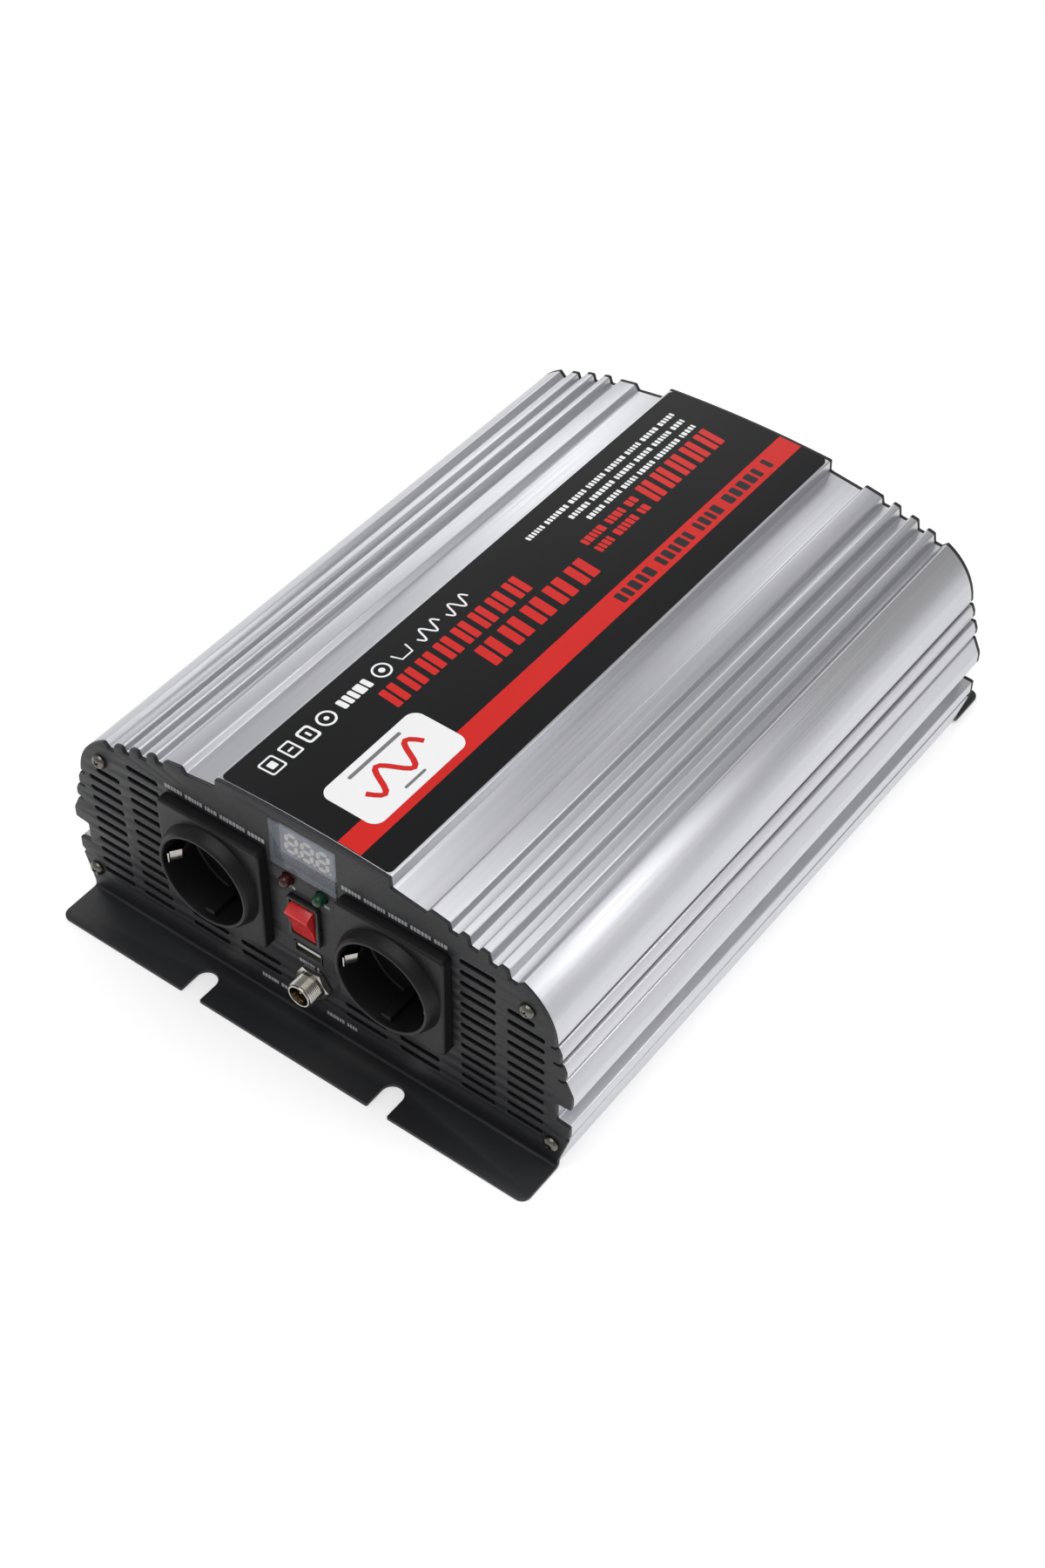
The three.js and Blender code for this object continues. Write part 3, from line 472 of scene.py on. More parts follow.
ROCKER_COAT = {"coat_weight": 0.5, "coat_roughness": 0.16}
ROCKER = moulded("rocker_red_plastic", (0.62, 0.012, 0.014), 0.24, 0.06, **ROCKER_COAT)
FAULT = lens("fault_lens", (0.045, 0.004, 0.004), 0.95, 0.22, 0.0)
POWER = lens("power_lens", (0.006, 0.05, 0.024), 0.95, 0.22, 0.0)
PORT = moulded("port_pale_plastic", (0.58, 0.59, 0.55), 0.45, 0.08)
NICKEL = plated("nickel_plate", (0.52, 0.5, 0.465), 0.1, 0.22)
DULL_NICKEL = plated("dull_nickel_plate", (0.16, 0.155, 0.145), 0.3, 0.44)
ZINC = plated("zinc_plate", (0.42, 0.4, 0.35), 0.28, 0.42)
DARK_ZINC = plated("dark_zinc_plate", (0.17, 0.16, 0.145), 0.2, 0.34)
BRASS = plated("brass", (0.72, 0.5, 0.2), 0.2, 0.34)
POSITIVE = moulded("positive_red_plastic", (0.55, 0.02, 0.018), 0.34, 0.12)
NEGATIVE = moulded("negative_black_plastic", (0.014, 0.014, 0.015), 0.38, 0.12)
BOARD = moulded("board_laminate", (0.02, 0.11, 0.045), 0.45, 0.1)
FERRITE = moulded("ferrite", (0.035, 0.033, 0.032), 0.6, 0.35)
COPPER = plated("copper_winding", (0.66, 0.3, 0.14), 0.3, 0.45)
SLEEVE = moulded("capacitor_sleeve", (0.02, 0.035, 0.1), 0.35, 0.05)
FAN = moulded("fan_plastic", (0.016, 0.016, 0.017), 0.42, 0.14)

# ---- Case section ----
SIDE_FINS = [
    (117.5, 19.3), (120, 19.9, 0.8), (120, 25.8, 0.8), (114, 26.3, 0.5), (114, 36.5, 0.5),
    (120.5, 37.2, 0.6), (120.5, 42.5, 5), (117.2, 49.6, 1.2), (114.5, 50), (114.5, 51),
    (117.4, 51.4, 1), (117.4, 54.8, 2), (116, 58.2, 0.8), (112.2, 58), (112.2, 59.2),
    (115.2, 59.5, 1), (115, 63, 2), (113.6, 66.2, 0.8), (111, 66), (111, 67.2), (113.2, 67.5, 0.5),
]
SHOULDER = [(111.5, 83.3, 27.5), (98, 91.1, 0.8)]
ROOF_FINS = [
    (95.6, 88.6, 0.4), (92.6, 88.8, 0.4), (91.8, 93.2, 0.9), (88.2, 94, 0.9), (87.2, 91.3, 0.4),
    (84.4, 91.6, 0.4), (83.6, 96.2, 0.9), (80, 97, 0.9), (79, 93.8, 0.4), (75.4, 94.2, 0.4),
    (74.7, 98.8, 0.9), (71.4, 99.5, 0.9), (70.4, 96.3, 0.4), (66.9, 96.6, 0.4), (66.2, 100.1, 0.9),
    (57.8, 101.6, 0.9), (56.2, 99, 0.5), (42.3, 101, 0.5), (40.7, 101.4),
]
CROWN_HALF_WIDTH = 40.5
CROWN_EDGE = 106.5
CROWN_RADIUS = 550.0
HOUSING_SIDE = SIDE_FINS + SHOULDER + ROOF_FINS + [(CROWN_HALF_WIDTH, CROWN_EDGE, 0.6)]
INNER_WALL = [
    (111.6, 19.3), (110.4, 50, 4), (108.6, 67, 6), (103.6, 81.6, 12), (94.6, 86.3, 6),
    (70, 93.6, 6), (56, 96.2, 4), (38.6, 98.4, 1), (36.6, 103.6, 1),
]
INNER_ROOF = 105.2
TRAY_HALF = [
    (114.2, -SHEET, 1.5), (119.6, 17.5, 0.6), (117.2, 17.5), (117.2, 19), (111.8, 19),
    (111.8, 16.8), (116.4, 16.2), (112.2, 1, 0.8),
]


def crown_height(x):
    def rise(value):
        return math.sqrt(CROWN_RADIUS**2 - value**2)

    return CROWN_EDGE + rise(x) - rise(CROWN_HALF_WIDTH)


def arched(right_half):
    """The right half's corners, the crown's fine arch, then the left half's corners."""
    steps = [39 - 1.5 * k for k in range(53)]
    crown = [(x, crown_height(x)) for x in steps]
    return right_half + crown + left_of(right_half)


def extrusion(section):
    return moved(prism(rounded(section), [], -CASE_END, CASE_END, 0.2, 0.2, 2), ALONG_Y)


bore = [*left_of(INNER_WALL[::-1]), (0, INNER_ROOF), *INNER_WALL[::-1]]
for node, section in (
    ("upper_housing", arched(HOUSING_SIDE) + bore),
    ("base_tray", TRAY_HALF + left_of(TRAY_HALF)),
):
    stand_in(node, extrusion(section), CASE, name=f"{node}_shell")

# ---- End panels ----
FLANGE_HALF_WIDTH = 115.4
FLANGE_DEPTH = 20.4
SLOT_X = 46.5
SLOT_HALF_WIDTH = 4.7
SLOT_END = 6.3
BEND_INNER = 1.2
BEND_LENGTH = (BEND_INNER + SHEET / 2) * math.pi / 2
BEND_START = BEND_INNER
BEND_FINISH = BEND_START - BEND_LENGTH
BEND_STEPS = 8
BEND_MARGIN = 0.4  # flat strip on each side of the bend that is shaded with it


def unrolled(reach):
    """Place on the flat blank of a point on the flange, by how far it stands out of the panel."""
    return BEND_FINISH - (reach - BEND_INNER)


def blank_outline():
    edge = unrolled(FLANGE_DEPTH)
    slot_end = unrolled(SLOT_END)
    inner, outer = SLOT_X - SLOT_HALF_WIDTH, SLOT_X + SLOT_HALF_WIDTH
    flange_half = [
        (inner, edge, 0.8), (inner, slot_end, SLOT_HALF_WIDTH - 0.01),
        (outer, slot_end, SLOT_HALF_WIDTH - 0.01), (outer, edge, 0.8),
        (FLANGE_HALF_WIDTH, edge, 4), (FLANGE_HALF_WIDTH, 3, 2), (119.6, 17.4, 0.8),
        (117.5, 17.9, 0.3),
    ]
    right_half = flange_half + HOUSING_SIDE[1:]
    return rounded(arched(right_half))


LOUVRE_HEIGHT = 2.6
LOUVRE_ROW_Z = 14.5
LOUVRE_PITCH = 5.85
# From x, to x, first row, number of rows; each column is on both sides.
LOUVRE_COLUMNS = [
    (71, 87, 0, 13),
    (92, 108.5, 0, 10),
    (92, 104, 10, 1),
    (16, 36, 0, 2),
    (42, 61, 0, 2),
]


def louvres():
    slots = []
    for x0, x1, first, rows in LOUVRE_COLUMNS:
        for row in range(first, first + rows):
            z = LOUVRE_ROW_Z + row * LOUVRE_PITCH
            for side in (1, -1):
                middle = side * (x0 + x1) / 2
                slots.append(rectangle(x1 - x0, LOUVRE_HEIGHT, LOUVRE_HEIGHT / 2 - 0.02, middle, z))
    return slots


CORNER_SCREWS = [(side * x, z) for x, z in ((101, 79.5), (112.5, 12)) for side in (-1, 1)]


def bent_panel(holes):
    """The sheet is made flat, sliced across the bend, and then bent forwards into the flange."""
    bm = prism(blank_outline(), holes, 0, SHEET, 0.22, 0.22, 2)
    bend = [BEND_START - BEND_LENGTH * k / BEND_STEPS for k in range(BEND_STEPS + 1)]
    for place in [BEND_START + BEND_MARGIN, *bend, BEND_FINISH - BEND_MARGIN]:
        sliced(bm, place, (0, 1, 0))
    bend_y = PANEL_FRONT - BEND_INNER
    for face in bm.faces:
        middle = face.calc_center_median().y
        if BEND_FINISH - BEND_MARGIN < middle < BEND_START + BEND_MARGIN:
            face.smooth = True
    for vertex in bm.verts:
        x, along, depth = vertex.co
        if along >= BEND_START:
            vertex.co = (x, PANEL_FRONT + depth, along)
        elif along <= BEND_FINISH:
            vertex.co = (x, bend_y - (BEND_FINISH - along), -depth)
        else:
            angle = (BEND_START - along) / BEND_LENGTH * math.pi / 2
            radius = BEND_INNER + depth
            vertex.co = (x, bend_y + radius * math.cos(angle), BEND_INNER - radius * math.sin(angle))
    return bm


# Openings in the panels: radius, or width, height and corner radius.
SOCKET_HOLE = 22.2
LAMP_HOLE = 2.9
REMOTE_HOLE = 6.1
SCREW_HOLE = 1.8
POST_HOLE = 7.8
EARTH_HOLE = 3.1
FAN_SCREW_HOLE = 2.2
WINDOW_HOLE = (31.6, 24.1, 0.8)
SWITCH_HOLE = (13.6, 19.8, 0.4)
USB_HOLE = (14, 6.6, 0.6)


def front_panel():
    sockets = [centre("left_socket"), centre("right_socket")]
    window = centre("display_window")
    switch = centre("switch_body")
    usb = centre("usb_shell")
    remote = centre("remote_connector_nut")
    holes = [circle(SOCKET_HOLE, s.x, s.z, 96) for s in sockets]
    holes.append(rectangle(*WINDOW_HOLE, window.x, window.z))
    for lamp in ("fault_lamp", "power_lamp"):
        holes.append(circle(LAMP_HOLE, centre(lamp).x, centre(lamp).z, 32))
    holes.append(rectangle(*SWITCH_HOLE, switch.x, switch.z))
    holes.append(rectangle(*USB_HOLE, usb.x, usb.z))
    holes.append(circle(REMOTE_HOLE, remote.x, remote.z, 48))
    holes += [circle(SCREW_HOLE, x, z, 20) for x, z in CORNER_SCREWS]
    return bent_panel(holes + louvres())


def grille_slot(inner, outer, angle):
    """A slot along a quarter circle, with round ends."""
    middle = (inner + outer) / 2
    half = math.pi / 4 - 3 / middle
    cap = (outer - inner) / 2
    points = []
    for radius, side in ((outer, 1), (inner, -1)):
        for k in range(25):
            turn = angle + side * (2 * half * k / 24 - half)
            points.append(Vector((math.cos(turn), math.sin(turn))) * radius)
        tip = Vector((math.cos(angle + side * half), math.sin(angle + side * half)))
        aside = Vector((-tip.y, tip.x)) * side
        for k in range(1, 8):
            swing = math.pi * k / 8
            points.append(tip * (middle + side * cap * math.cos(swing)) + aside * cap * math.sin(swing))
    return points


GRILLE_RINGS = [(10, 14.5), (18, 22.5), (26, 30.5), (34, 37.5)]
FAN_SCREW = 35.75


def rear_panel():
    """Made as a front panel, so its right is the case's left, and turned about afterwards."""
    fan_z = centre("fan_frame").z
    post = centre("positive_terminal_post")
    earth = centre("earth_screw")
    holes = [circle(POST_HOLE, side * post.x, post.z, 48) for side in (-1, 1)]
    holes.append(circle(EARTH_HOLE, -earth.x, earth.z, 24))
    holes += [circle(SCREW_HOLE, x, z, 20) for x, z in CORNER_SCREWS]
    for inner, outer in GRILLE_RINGS:
        for quarter in (1, 3, 5, 7):
            slot = grille_slot(inner, outer, quarter * math.pi / 4)
            holes.append([p + Vector((0, fan_z)) for p in slot])
    for sx, sz in CORNERS:
        holes.append(circle(FAN_SCREW_HOLE, sx * FAN_SCREW, fan_z + sz * FAN_SCREW, 20))
    return moved(bent_panel(holes), HALF_TURN)


stand_in("front_panel", front_panel(), PANEL, name="front_panel_sheet")
stand_in("rear_panel", rear_panel(), PANEL, name="rear_panel_sheet")

# ---- Label ----
FILM_TOP = 0.4
LABEL_INSET = 1.3
LABEL_END_INSET = 0.3
INK = 0.035
CROWN_STRIP = 2.5


def on_crown(bm, base):
    """Slices a flat piece across the arch and lays it on the crown, with its y from the front."""
    low = min(v.co.x for v in bm.verts)
    high = max(v.co.x for v in bm.verts)
    place = math.ceil(low / CROWN_STRIP) * CROWN_STRIP
    while place < high:
        sliced(bm, place, (1, 0, 0))
        place += CROWN_STRIP
    for vertex in bm.verts:
        x, y, depth = vertex.co
        vertex.co = (x, y + PANEL_FRONT, crown_height(x) + base + depth)
    return bm


def label_film():
    width = 2 * (CROWN_HALF_WIDTH - LABEL_INSET)
    length = 2 * (CASE_END - LABEL_END_INSET)
    outline = rectangle(width, length, 2.2, 0, -PANEL_FRONT)
    return on_crown(prism(outline, [], 0.06, FILM_TOP, 0.05, 0.05, 1), 0)


def on_label(shapes, layer=0, holes_of=None):
    """Thin print on the arched film. Shapes are drawn in x and y, with y from the front panel."""
    bm = bmesh.new()
    for i, shape in enumerate(shapes):
        holes = (holes_of or {}).get(i, [])
        add_prism(bm, shape, holes, 0, INK)
    return on_crown(bm, FILM_TOP + layer * INK)


def greeked(x0, x1, y0, y1, seed, gap=0.28):
    """A line of print as a row of plain blocks. It runs along y between x0 and x1."""
    chance = random.Random(seed)
    height = x1 - x0
    blocks = []
    y = y0
    in_word = 0
    while y < y1 - 0.3 * height:
        width = height * chance.uniform(0.38, 0.72)
        end = min(y + width, y1)
        corner = min(0.12 * height, 0.3 * (end - y))
        blocks.append(rounded([(x0, y, corner), (x1, y, corner), (x1, end, corner), (x0, end, corner)]))
        y = end + gap * height * 0.55
        in_word += 1
        if in_word > chance.randint(3, 7):
            y += height * 0.55
            in_word = 0
    return blocks


def bold_row(x0, x1, y0, y1, count):
    """Heavy print as plain slanted blocks of equal size, each parted into two bars."""
    pitch = (y1 - y0) / count
    slant = (x1 - x0) * 0.12
    rows = []
    for k in range(count):
        for start, finish in ((0, 0.3), (0.42, 0.74)):
            y = y0 + (k + start) * pitch
            end = y0 + (k + finish) * pitch
            corners = [(x0, y + slant, 0.5), (x1, y, 0.5), (x1, end, 0.5), (x0, end + slant, 0.5)]
            rows.append(rounded(corners))
    return rows


def wave(x, y0, y1, swing, turns, width):
    steps = 12 * turns + 1
    points = []
    for k in range(steps):
        share = k / (steps - 1)
        aside = swing * math.sin(2 * math.pi * turns * share)
        points.append(Vector((x + aside, y0 + (y1 - y0) * share)))
    return ribbon(points, width)


def label_piece(name, shapes, material, layer=0, holes_of=None):
    mesh_piece(name, on_label(shapes, layer, holes_of), material)


ICON_X = -27.6
# For each icon: its outline, the hole in it and the core in the hole.
ICONS = [
    (circle(4.2, ICON_X, 80.6, 32), circle(3.3, ICON_X, 80.6, 32), circle(1.4, ICON_X, 80.6, 20)),
    (circle(4.2, ICON_X, 48, 32), circle(3.2, ICON_X, 48, 32), circle(1.1, ICON_X, 48, 20)),
]
ICONS += [
    [rectangle(*size, ICON_X, y) for size in sizes]
    for y, *sizes in (
        (37.6, (8.4, 7, 1.6), (6.2, 4.8, 1), (3, 1.2, 0.3)),
        (27.6, (8.4, 6.4, 0.8), (6.6, 4.6, 0.5), (1, 3, 0.3)),
        (17.4, (8.6, 8, 1.2), (7, 6.4, 0.8), (3.6, 3.4, 0.5)),
    )
]


def label_print():
    length = 2 * (CASE_END - LABEL_END_INSET)
    label_piece("label_red_stripe", [rectangle(10.6, length, 0, 21, -PANEL_FRONT)], RED_INK)
    red = bold_row(-13, -0.6, 225, 278, 5)
    red += bold_row(-6, 6, 108, 180, 5)
    red += bold_row(-20.4, -9.4, 68, 155, 8)
    red += greeked(-4.6, -0.4, 186, 222, 3)
    red += greeked(-11.4, -7.2, 186, 222, 4)
    label_piece("label_red_blocks", red, RED_INK)
    white = greeked(-18.4, -15.8, 200, 278, 5, 0.5)
    white += greeked(-24.4, -21.8, 196, 278, 6, 0.5)
    white += greeked(-30.4, -27.8, 175, 278, 7, 0.5)
    white += greeked(-30.4, -24.8, 56, 74, 8)
    white += [wave(ICON_X, y, y + 14, 3.2, 2, 0.9) for y in (120, 102)]
    bracket = [(-29.8, 88.6), (-25, 90), (-25, 96), (-29.8, 97.4)]
    white.append(ribbon([Vector(point) for point in bracket], 0.8))
    outlines, holes, cores = zip(*ICONS)
    holes_of = {len(white) + k: [hole] for k, hole in enumerate(holes)}
    label_piece("label_white_print", [*white, *outlines, *cores], WHITE_INK, 0, holes_of)
    label_piece("label_stripe_print", greeked(18.2, 24, 167, 278, 9, 0.5), BLACK_INK, 1)
    label_piece("label_badge", [rectangle(27, 55, 5, 9, 43)], WHITE_INK, 1)
    label_piece("label_badge_wave", [wave(9, 26, 60, 5.6, 2, 2.4)], RED_INK, 2)
    bars = [rectangle(1.6, 30, 0.8, -0.6, 43), rectangle(1.2, 12, 0.6, 18.4, 43)]
    label_piece("label_badge_bars", bars, GREY_INK, 2)


stand_in("top_label", label_film(), FILM, name="top_label_film")
label_print()

# ---- Screws ----
HEAD_HEIGHT = 2.1
HEAD_RADIUS = 3.3


def pan_head_screw(length):
    """Points along +z, with the underside of its head at z = 0."""
    shank = []
    turns = int((length - 2) / 0.9)
    for k in range(turns):
        z = 0.5 + k * 0.9
        shank += [(1.15, z), (1.45, z + 0.45)]
    profile = [
        (0, -HEAD_HEIGHT), (1.6, -HEAD_HEIGHT, 1.6), (2.9, -1.35, 1.1), (HEAD_RADIUS, -0.25, 0.2),
        (HEAD_RADIUS - 0.1, 0, 0.1), (1.3, 0),
        *shank,
        (1.15, length - 1),
        (0, length),
    ]
    body = lathe(profile, 32)
    arm, half = 1.65, 0.42
    cross = [(arm, half), (half, half), (half, arm), (-half, arm), (-half, half), (-arm, half)]
    cross += [(-x, -y) for x, y in cross]
    recess = prism([Vector(p) for p in cross], [], -HEAD_HEIGHT - 0.6, -0.75)
    for vertex in recess.verts:
        if vertex.co.z > -1:
            vertex.co.x *= 0.55
            vertex.co.y *= 0.55
    return combine(body, "DIFFERENCE", recess)


def screw(name, pattern, place, drive_turn, material, replaces=()):
    bm = moved(copy_of(pattern), place @ Matrix.Rotation(math.radians(drive_turn), 4, "Z"))
    mesh_piece(name, bm, material, replaces=replaces, angle=35)


panel_screw = mesh_of(pan_head_screw(12))
clamp_screw = mesh_of(pan_head_screw(9))
DRIVE_TURNS = [12, 38, 71, 25, 52, 8, 63, 44, 19, 80]  # degrees about the screw's axis, for variety
for i in range(1, 5):
    for end, place, turn in (
        ("front", ALONG_Y, DRIVE_TURNS[i]),
        ("rear", HALF_TURN @ ALONG_Y, DRIVE_TURNS[i + 4]),
    ):
        node = f"{end}_panel_screw_{i}"
        spot = centre(node)
        face = (PANEL_FRONT - GAP) * (1 if end == "front" else -1)
        screw(f"{node}_fine", panel_screw, at(spot.x, face, spot.z) @ place, turn, DARK_ZINC, [node])
    for side, sign in (("right", 1), ("left", -1)):
        node = f"{side}_clamp_screw_{i}"
        spot = centre(node)
        place = at(sign * (114 + GAP), spot.y, spot.z) @ Matrix.Rotation(-sign * math.pi / 2, 4, "Y")
        screw(f"{node}_fine", clamp_screw, place, DRIVE_TURNS[(3 * i + sign) % 10], ZINC, [node])

fan_z = centre("fan_frame").z
for i, (sx, sz) in enumerate(CORNERS, 1):
    place = at(sx * FAN_SCREW, -PANEL_FRONT + 0.02, fan_z + sz * FAN_SCREW) @ HALF_TURN @ ALONG_Y
    screw(f"fan_screw_{i}", panel_screw, place, DRIVE_TURNS[i + 5], ZINC)

# ---- Mains sockets ----
RIM = 10.3
PLATE = 5.1
WELL_FLOOR = 7.2
STRAP_X = 17.9


def socket_body():
    plate = prism(rectangle(50, 52.3, 2.2), [], -PLATE, -GAP, 1.1, 0.1, 4)
    core = lathe(
        [
            (0, WELL_FLOOR), (19.8, WELL_FLOOR, 1.2), (20, -RIM, 0.5), (21.2, -RIM, 0.4),
            (22, -RIM + 1.2, 0.6), (23.4, -PLATE, 0.5), (23.4, -2), (21.8, -2), (21.8, 27, 0.8),
            (0, 27),
        ],
        96,
    )
    hole = lathe([(0, -8), (22.6, -8), (22.6, 3), (0, 3)], 96)
    plate = combine(plate, "DIFFERENCE", hole)
    body = combine(plate, "UNION", core)
    ribs = []
    for side in (-1, 1):
        rib = prism(rectangle(4.8, 3.4, 0.8, 0, side * 18.9), [], -RIM + 2.2, WELL_FLOOR + 1, 0.5, 0)
        ribs.append(rib)
    body = combine(body, "UNION", *ribs)
    cutters = []
    for side in (-1, 1):
        z = side * 9.5
        entry = lathe([(0, 6), (3.5, 6), (3.5, 7.4), (2.6, 8.3), (2.6, 9.5), (0, 9.5)], 32)
        back = lathe([(0, 8.9), (3.6, 8.9), (3.6, 28), (0, 28)], 32)
        cutters += [moved(entry, at(0, z, 0)), moved(back, at(0, z, 0))]
        cutters.append(prism(rectangle(2.4, 6.2, 0.2, side * STRAP_X, 0), [], 6, 28))
        cutters.append(prism(rectangle(2.2, 6.2, 0.2, side * 19.5, 0), [], -RIM + 1.1, 8))
    return combine(body, "DIFFERENCE", *cutters)


def earth_strap():
    """One springy strip round the socket's back, drawn in x and y, with a clip at each end."""
    back = 27 + GAP
    outer, inner = STRAP_X + 0.4, STRAP_X - 0.4
    tip = -RIM + 1.6
    half = [
        (outer, back + 0.8, 0.9), (outer, tip + 11, 2), (outer - 1.9, tip + 5.6, 2.2),
        (outer + 1.3, tip + 0.9, 0.9), (outer + 0.4, tip, 0.35), (outer - 0.1, tip + 0.6, 0.2),
        (outer + 0.4, tip + 1.2, 0.3), (inner - 2.1, tip + 5.6, 1.5), (inner, tip + 11, 2),
        (inner, back, 0.3),
    ]
    return prism(rounded(half + left_of(half)), [], -2.5, 2.5, 0.15, 0.15, 2)


socket_mesh = mesh_of(socket_body())
strap_mesh = mesh_of(earth_strap())
for side in ("left", "right"):
    node = f"{side}_socket"
    spot = centre(node)
    place = at(spot.x, PANEL_FRONT, spot.z)
    body = moved(copy_of(socket_mesh), place @ ALONG_Y)
    stand_in(node, body, SOCKET, name=f"{node}_body")
    stand_in(f"{node}_earth_strap", moved(copy_of(strap_mesh), place), NICKEL)

# ---- Meter and lamps ----
window_spot = centre("display_window")
WINDOW_PLACE = at(window_spot.x, PANEL_FRONT, window_spot.z) @ ALONG_Y
METER_FRONT = 3.3


def display_window():
    face = prism(rectangle(31, 23.5, 0.7), [], -0.4, 2.3, 0.35, 0)
    lip = prism(rectangle(35, 25.5, 0.4), [], 1.8, 3, 0.1, 0.1)
    return moved(combine(face, "UNION", lip), WINDOW_PLACE)


DIGIT_WIDTH = 4.7
DIGIT_HEIGHT = 8.8
DIGIT_LEAN = 0.09
DIGIT_DROP = Vector((0, -0.8))
SEGMENT_HALF = 0.92


def segment(x, z, length, upright):
    half, thick = length / 2, SEGMENT_HALF
    corners = [(-half, 0), (-half + thick, thick), (half - thick, thick), (half, 0)]
    corners += [(half - thick, -thick), (-half + thick, -thick)]
    if upright:
        corners = [(b, a) for a, b in corners]
    return [Vector((x + a + (z + b) * DIGIT_LEAN, z + b)) for a, b in corners]


def digit_segments(x):
    width, height = DIGIT_WIDTH, DIGIT_HEIGHT
    flat = [segment(x, z, width - 0.7, False) for z in (-height / 2, 0, height / 2)]
    tall = [
        segment(x + sx * width / 2, sz * (height / 4), height / 2 - 0.6, True) for sx, sz in CORNERS
    ]
    return flat + tall


def meter_digits():
    bm = bmesh.new()
    for x in (-8, -0.6, 6.8):
        for shape in digit_segments(x):
            shape = [corner + DIGIT_DROP for corner in shape]
            add_prism(bm, shape, [], METER_FRONT - 0.12, METER_FRONT + 0.2)
    for x in (-4.7, 2.7, 10.1):
        add_prism(bm, circle(0.6, x, -5.2, 16), [], METER_FRONT - 0.12, METER_FRONT + 0.2)
    return moved(bm, WINDOW_PLACE)


def meter_body():
    block = prism(rectangle(27, 16, 0.5), [], METER_FRONT, METER_FRONT + 7, 0.2, 0)
    board = prism(rectangle(36, 26, 0.5), [], METER_FRONT + 6.5, METER_FRONT + 8, 0.1, 0.1)
    return moved(combine(block, "UNION", board), WINDOW_PLACE)


def lamp_body():
    return lathe(
        [
            (0, -4.2), (2.5, -4.2, 2.3), (2.5, 1.8), (3.1, 1.8, 0.2), (3.1, 2.8, 0.2), (2.5, 2.8),
            (2.5, 6.8, 0.3), (0, 6.8),
        ],
        40,
    )


stand_in("display_window", display_window(), WINDOW, name="display_window_lens")
mesh_piece("meter_digit_segments", meter_digits(), SEGMENT)
stand_in("display_module", meter_body(), METER, name="meter_block")
for node, look, slot in (("fault_lamp", FAULT, "fault_lens"), ("power_lamp", POWER, "power_lens")):
    spot = centre(node)
    bm = moved(lamp_body(), at(spot.x, PANEL_FRONT, spot.z) @ ALONG_Y)
    stand_in(node, bm, look, name=f"{node}_lens")

# ---- Rocker switch ----
switch_spot = centre("switch_body")
PIVOT = at(switch_spot.x, PANEL_FRONT + 0.5, switch_spot.z)
ROCKER_TILT = math.radians(17)
ROCKER_FACET = math.radians(5)


def switch_body():
    bezel = prism(rectangle(15, 21, 1.2), [rectangle(11.8, 18.2, 0.4)], -2.5, -0.8, 0.5, 0, 4)
    walls = prism(rectangle(13, 19.2, 0.3), [rectangle(11.6, 18, 0.3)], -1.2, 16)
    floor = prism(rectangle(12.4, 18.8, 0.2), [], 6, 16.2)
    parts = [walls, floor]
    for z in (-6, 0, 6):
        parts.append(prism(rectangle(4.8, 0.8, 0.1, 0, z), [], 15.5, 23, 0, 0.2))
    housing = moved(combine(bezel, "UNION", *parts), PIVOT @ ALONG_Y)
    bore = lathe([(0, -8), (1.4, -8), (1.4, 8), (0, 8)], 24)
    return combine(housing, "DIFFERENCE", moved(bore, PIVOT @ ALONG_X))


def rocker():
    valley, reach = -3.8, 7.7
    end_face = valley - reach * math.tan(ROCKER_FACET)
    upper = [(end_face, reach, 0.7)]
    for degrees in (12, 6, 0, -6, -12, -17, -22):
        angle = math.radians(degrees)
        upper.append((-8.7 * math.sin(angle), 8.7 * math.cos(angle)))
    lower = [(c[0], -c[1], *c[2:]) for c in reversed(upper)]
    section = rounded([(valley, 0, 1.5)] + upper + lower)
    solid = prism(section, [], -5.5, 5.5, 0.45, 0.45, 4)
    pin = lathe([(0, -6.2), (1.2, -6.2, 0.2), (1.2, 6.2, 0.2), (0, 6.2)], 24)
    solid = combine(solid, "UNION", pin)
    tilt = Matrix.Rotation(ROCKER_TILT, 4, "X")
    return moved(solid, PIVOT @ tilt @ ALONG_X)


stand_in("switch_body", switch_body(), FITTING, name="switch_housing")
stand_in("switch_rocker", rocker(), ROCKER, "rocker", "switch_rocker_button")

# ---- USB port and remote connector ----
usb_spot = centre("usb_shell")
USB_PLACE = at(usb_spot.x, PANEL_FRONT, usb_spot.z) @ ALONG_Y
remote_spot = centre("remote_connector_nut")
REMOTE_PLACE = at(remote_spot.x, PANEL_FRONT, remote_spot.z) @ ALONG_Y


def usb_shell():
    outer = rectangle(13.1, 5.7, 0.7)
    inner = rectangle(12.4, 5, 0.4)
    return moved(prism(outer, [inner], -0.2, 14, 0.12, 0.1), USB_PLACE)


def usb_insert():
    block = prism(rectangle(11.6, 4.2, 0.1), [], 10, 15, 0.1, 0.1)
    tongue = prism(rectangle(11.2, 1.9, 0.1, 0, 1.15), [], 0.3, 10.5, 0.25, 0)
    return moved(combine(block, "UNION", tongue), USB_PLACE)


def usb_contacts():
    bm = bmesh.new()
    for x, front in ((-3.5, 2), (-1, 2.8), (1, 2.8), (3.5, 2)):
        add_prism(bm, rectangle(1, 0.14, 0.03, x, 0.06), [], front, 9.8)
    return moved(bm, USB_PLACE)


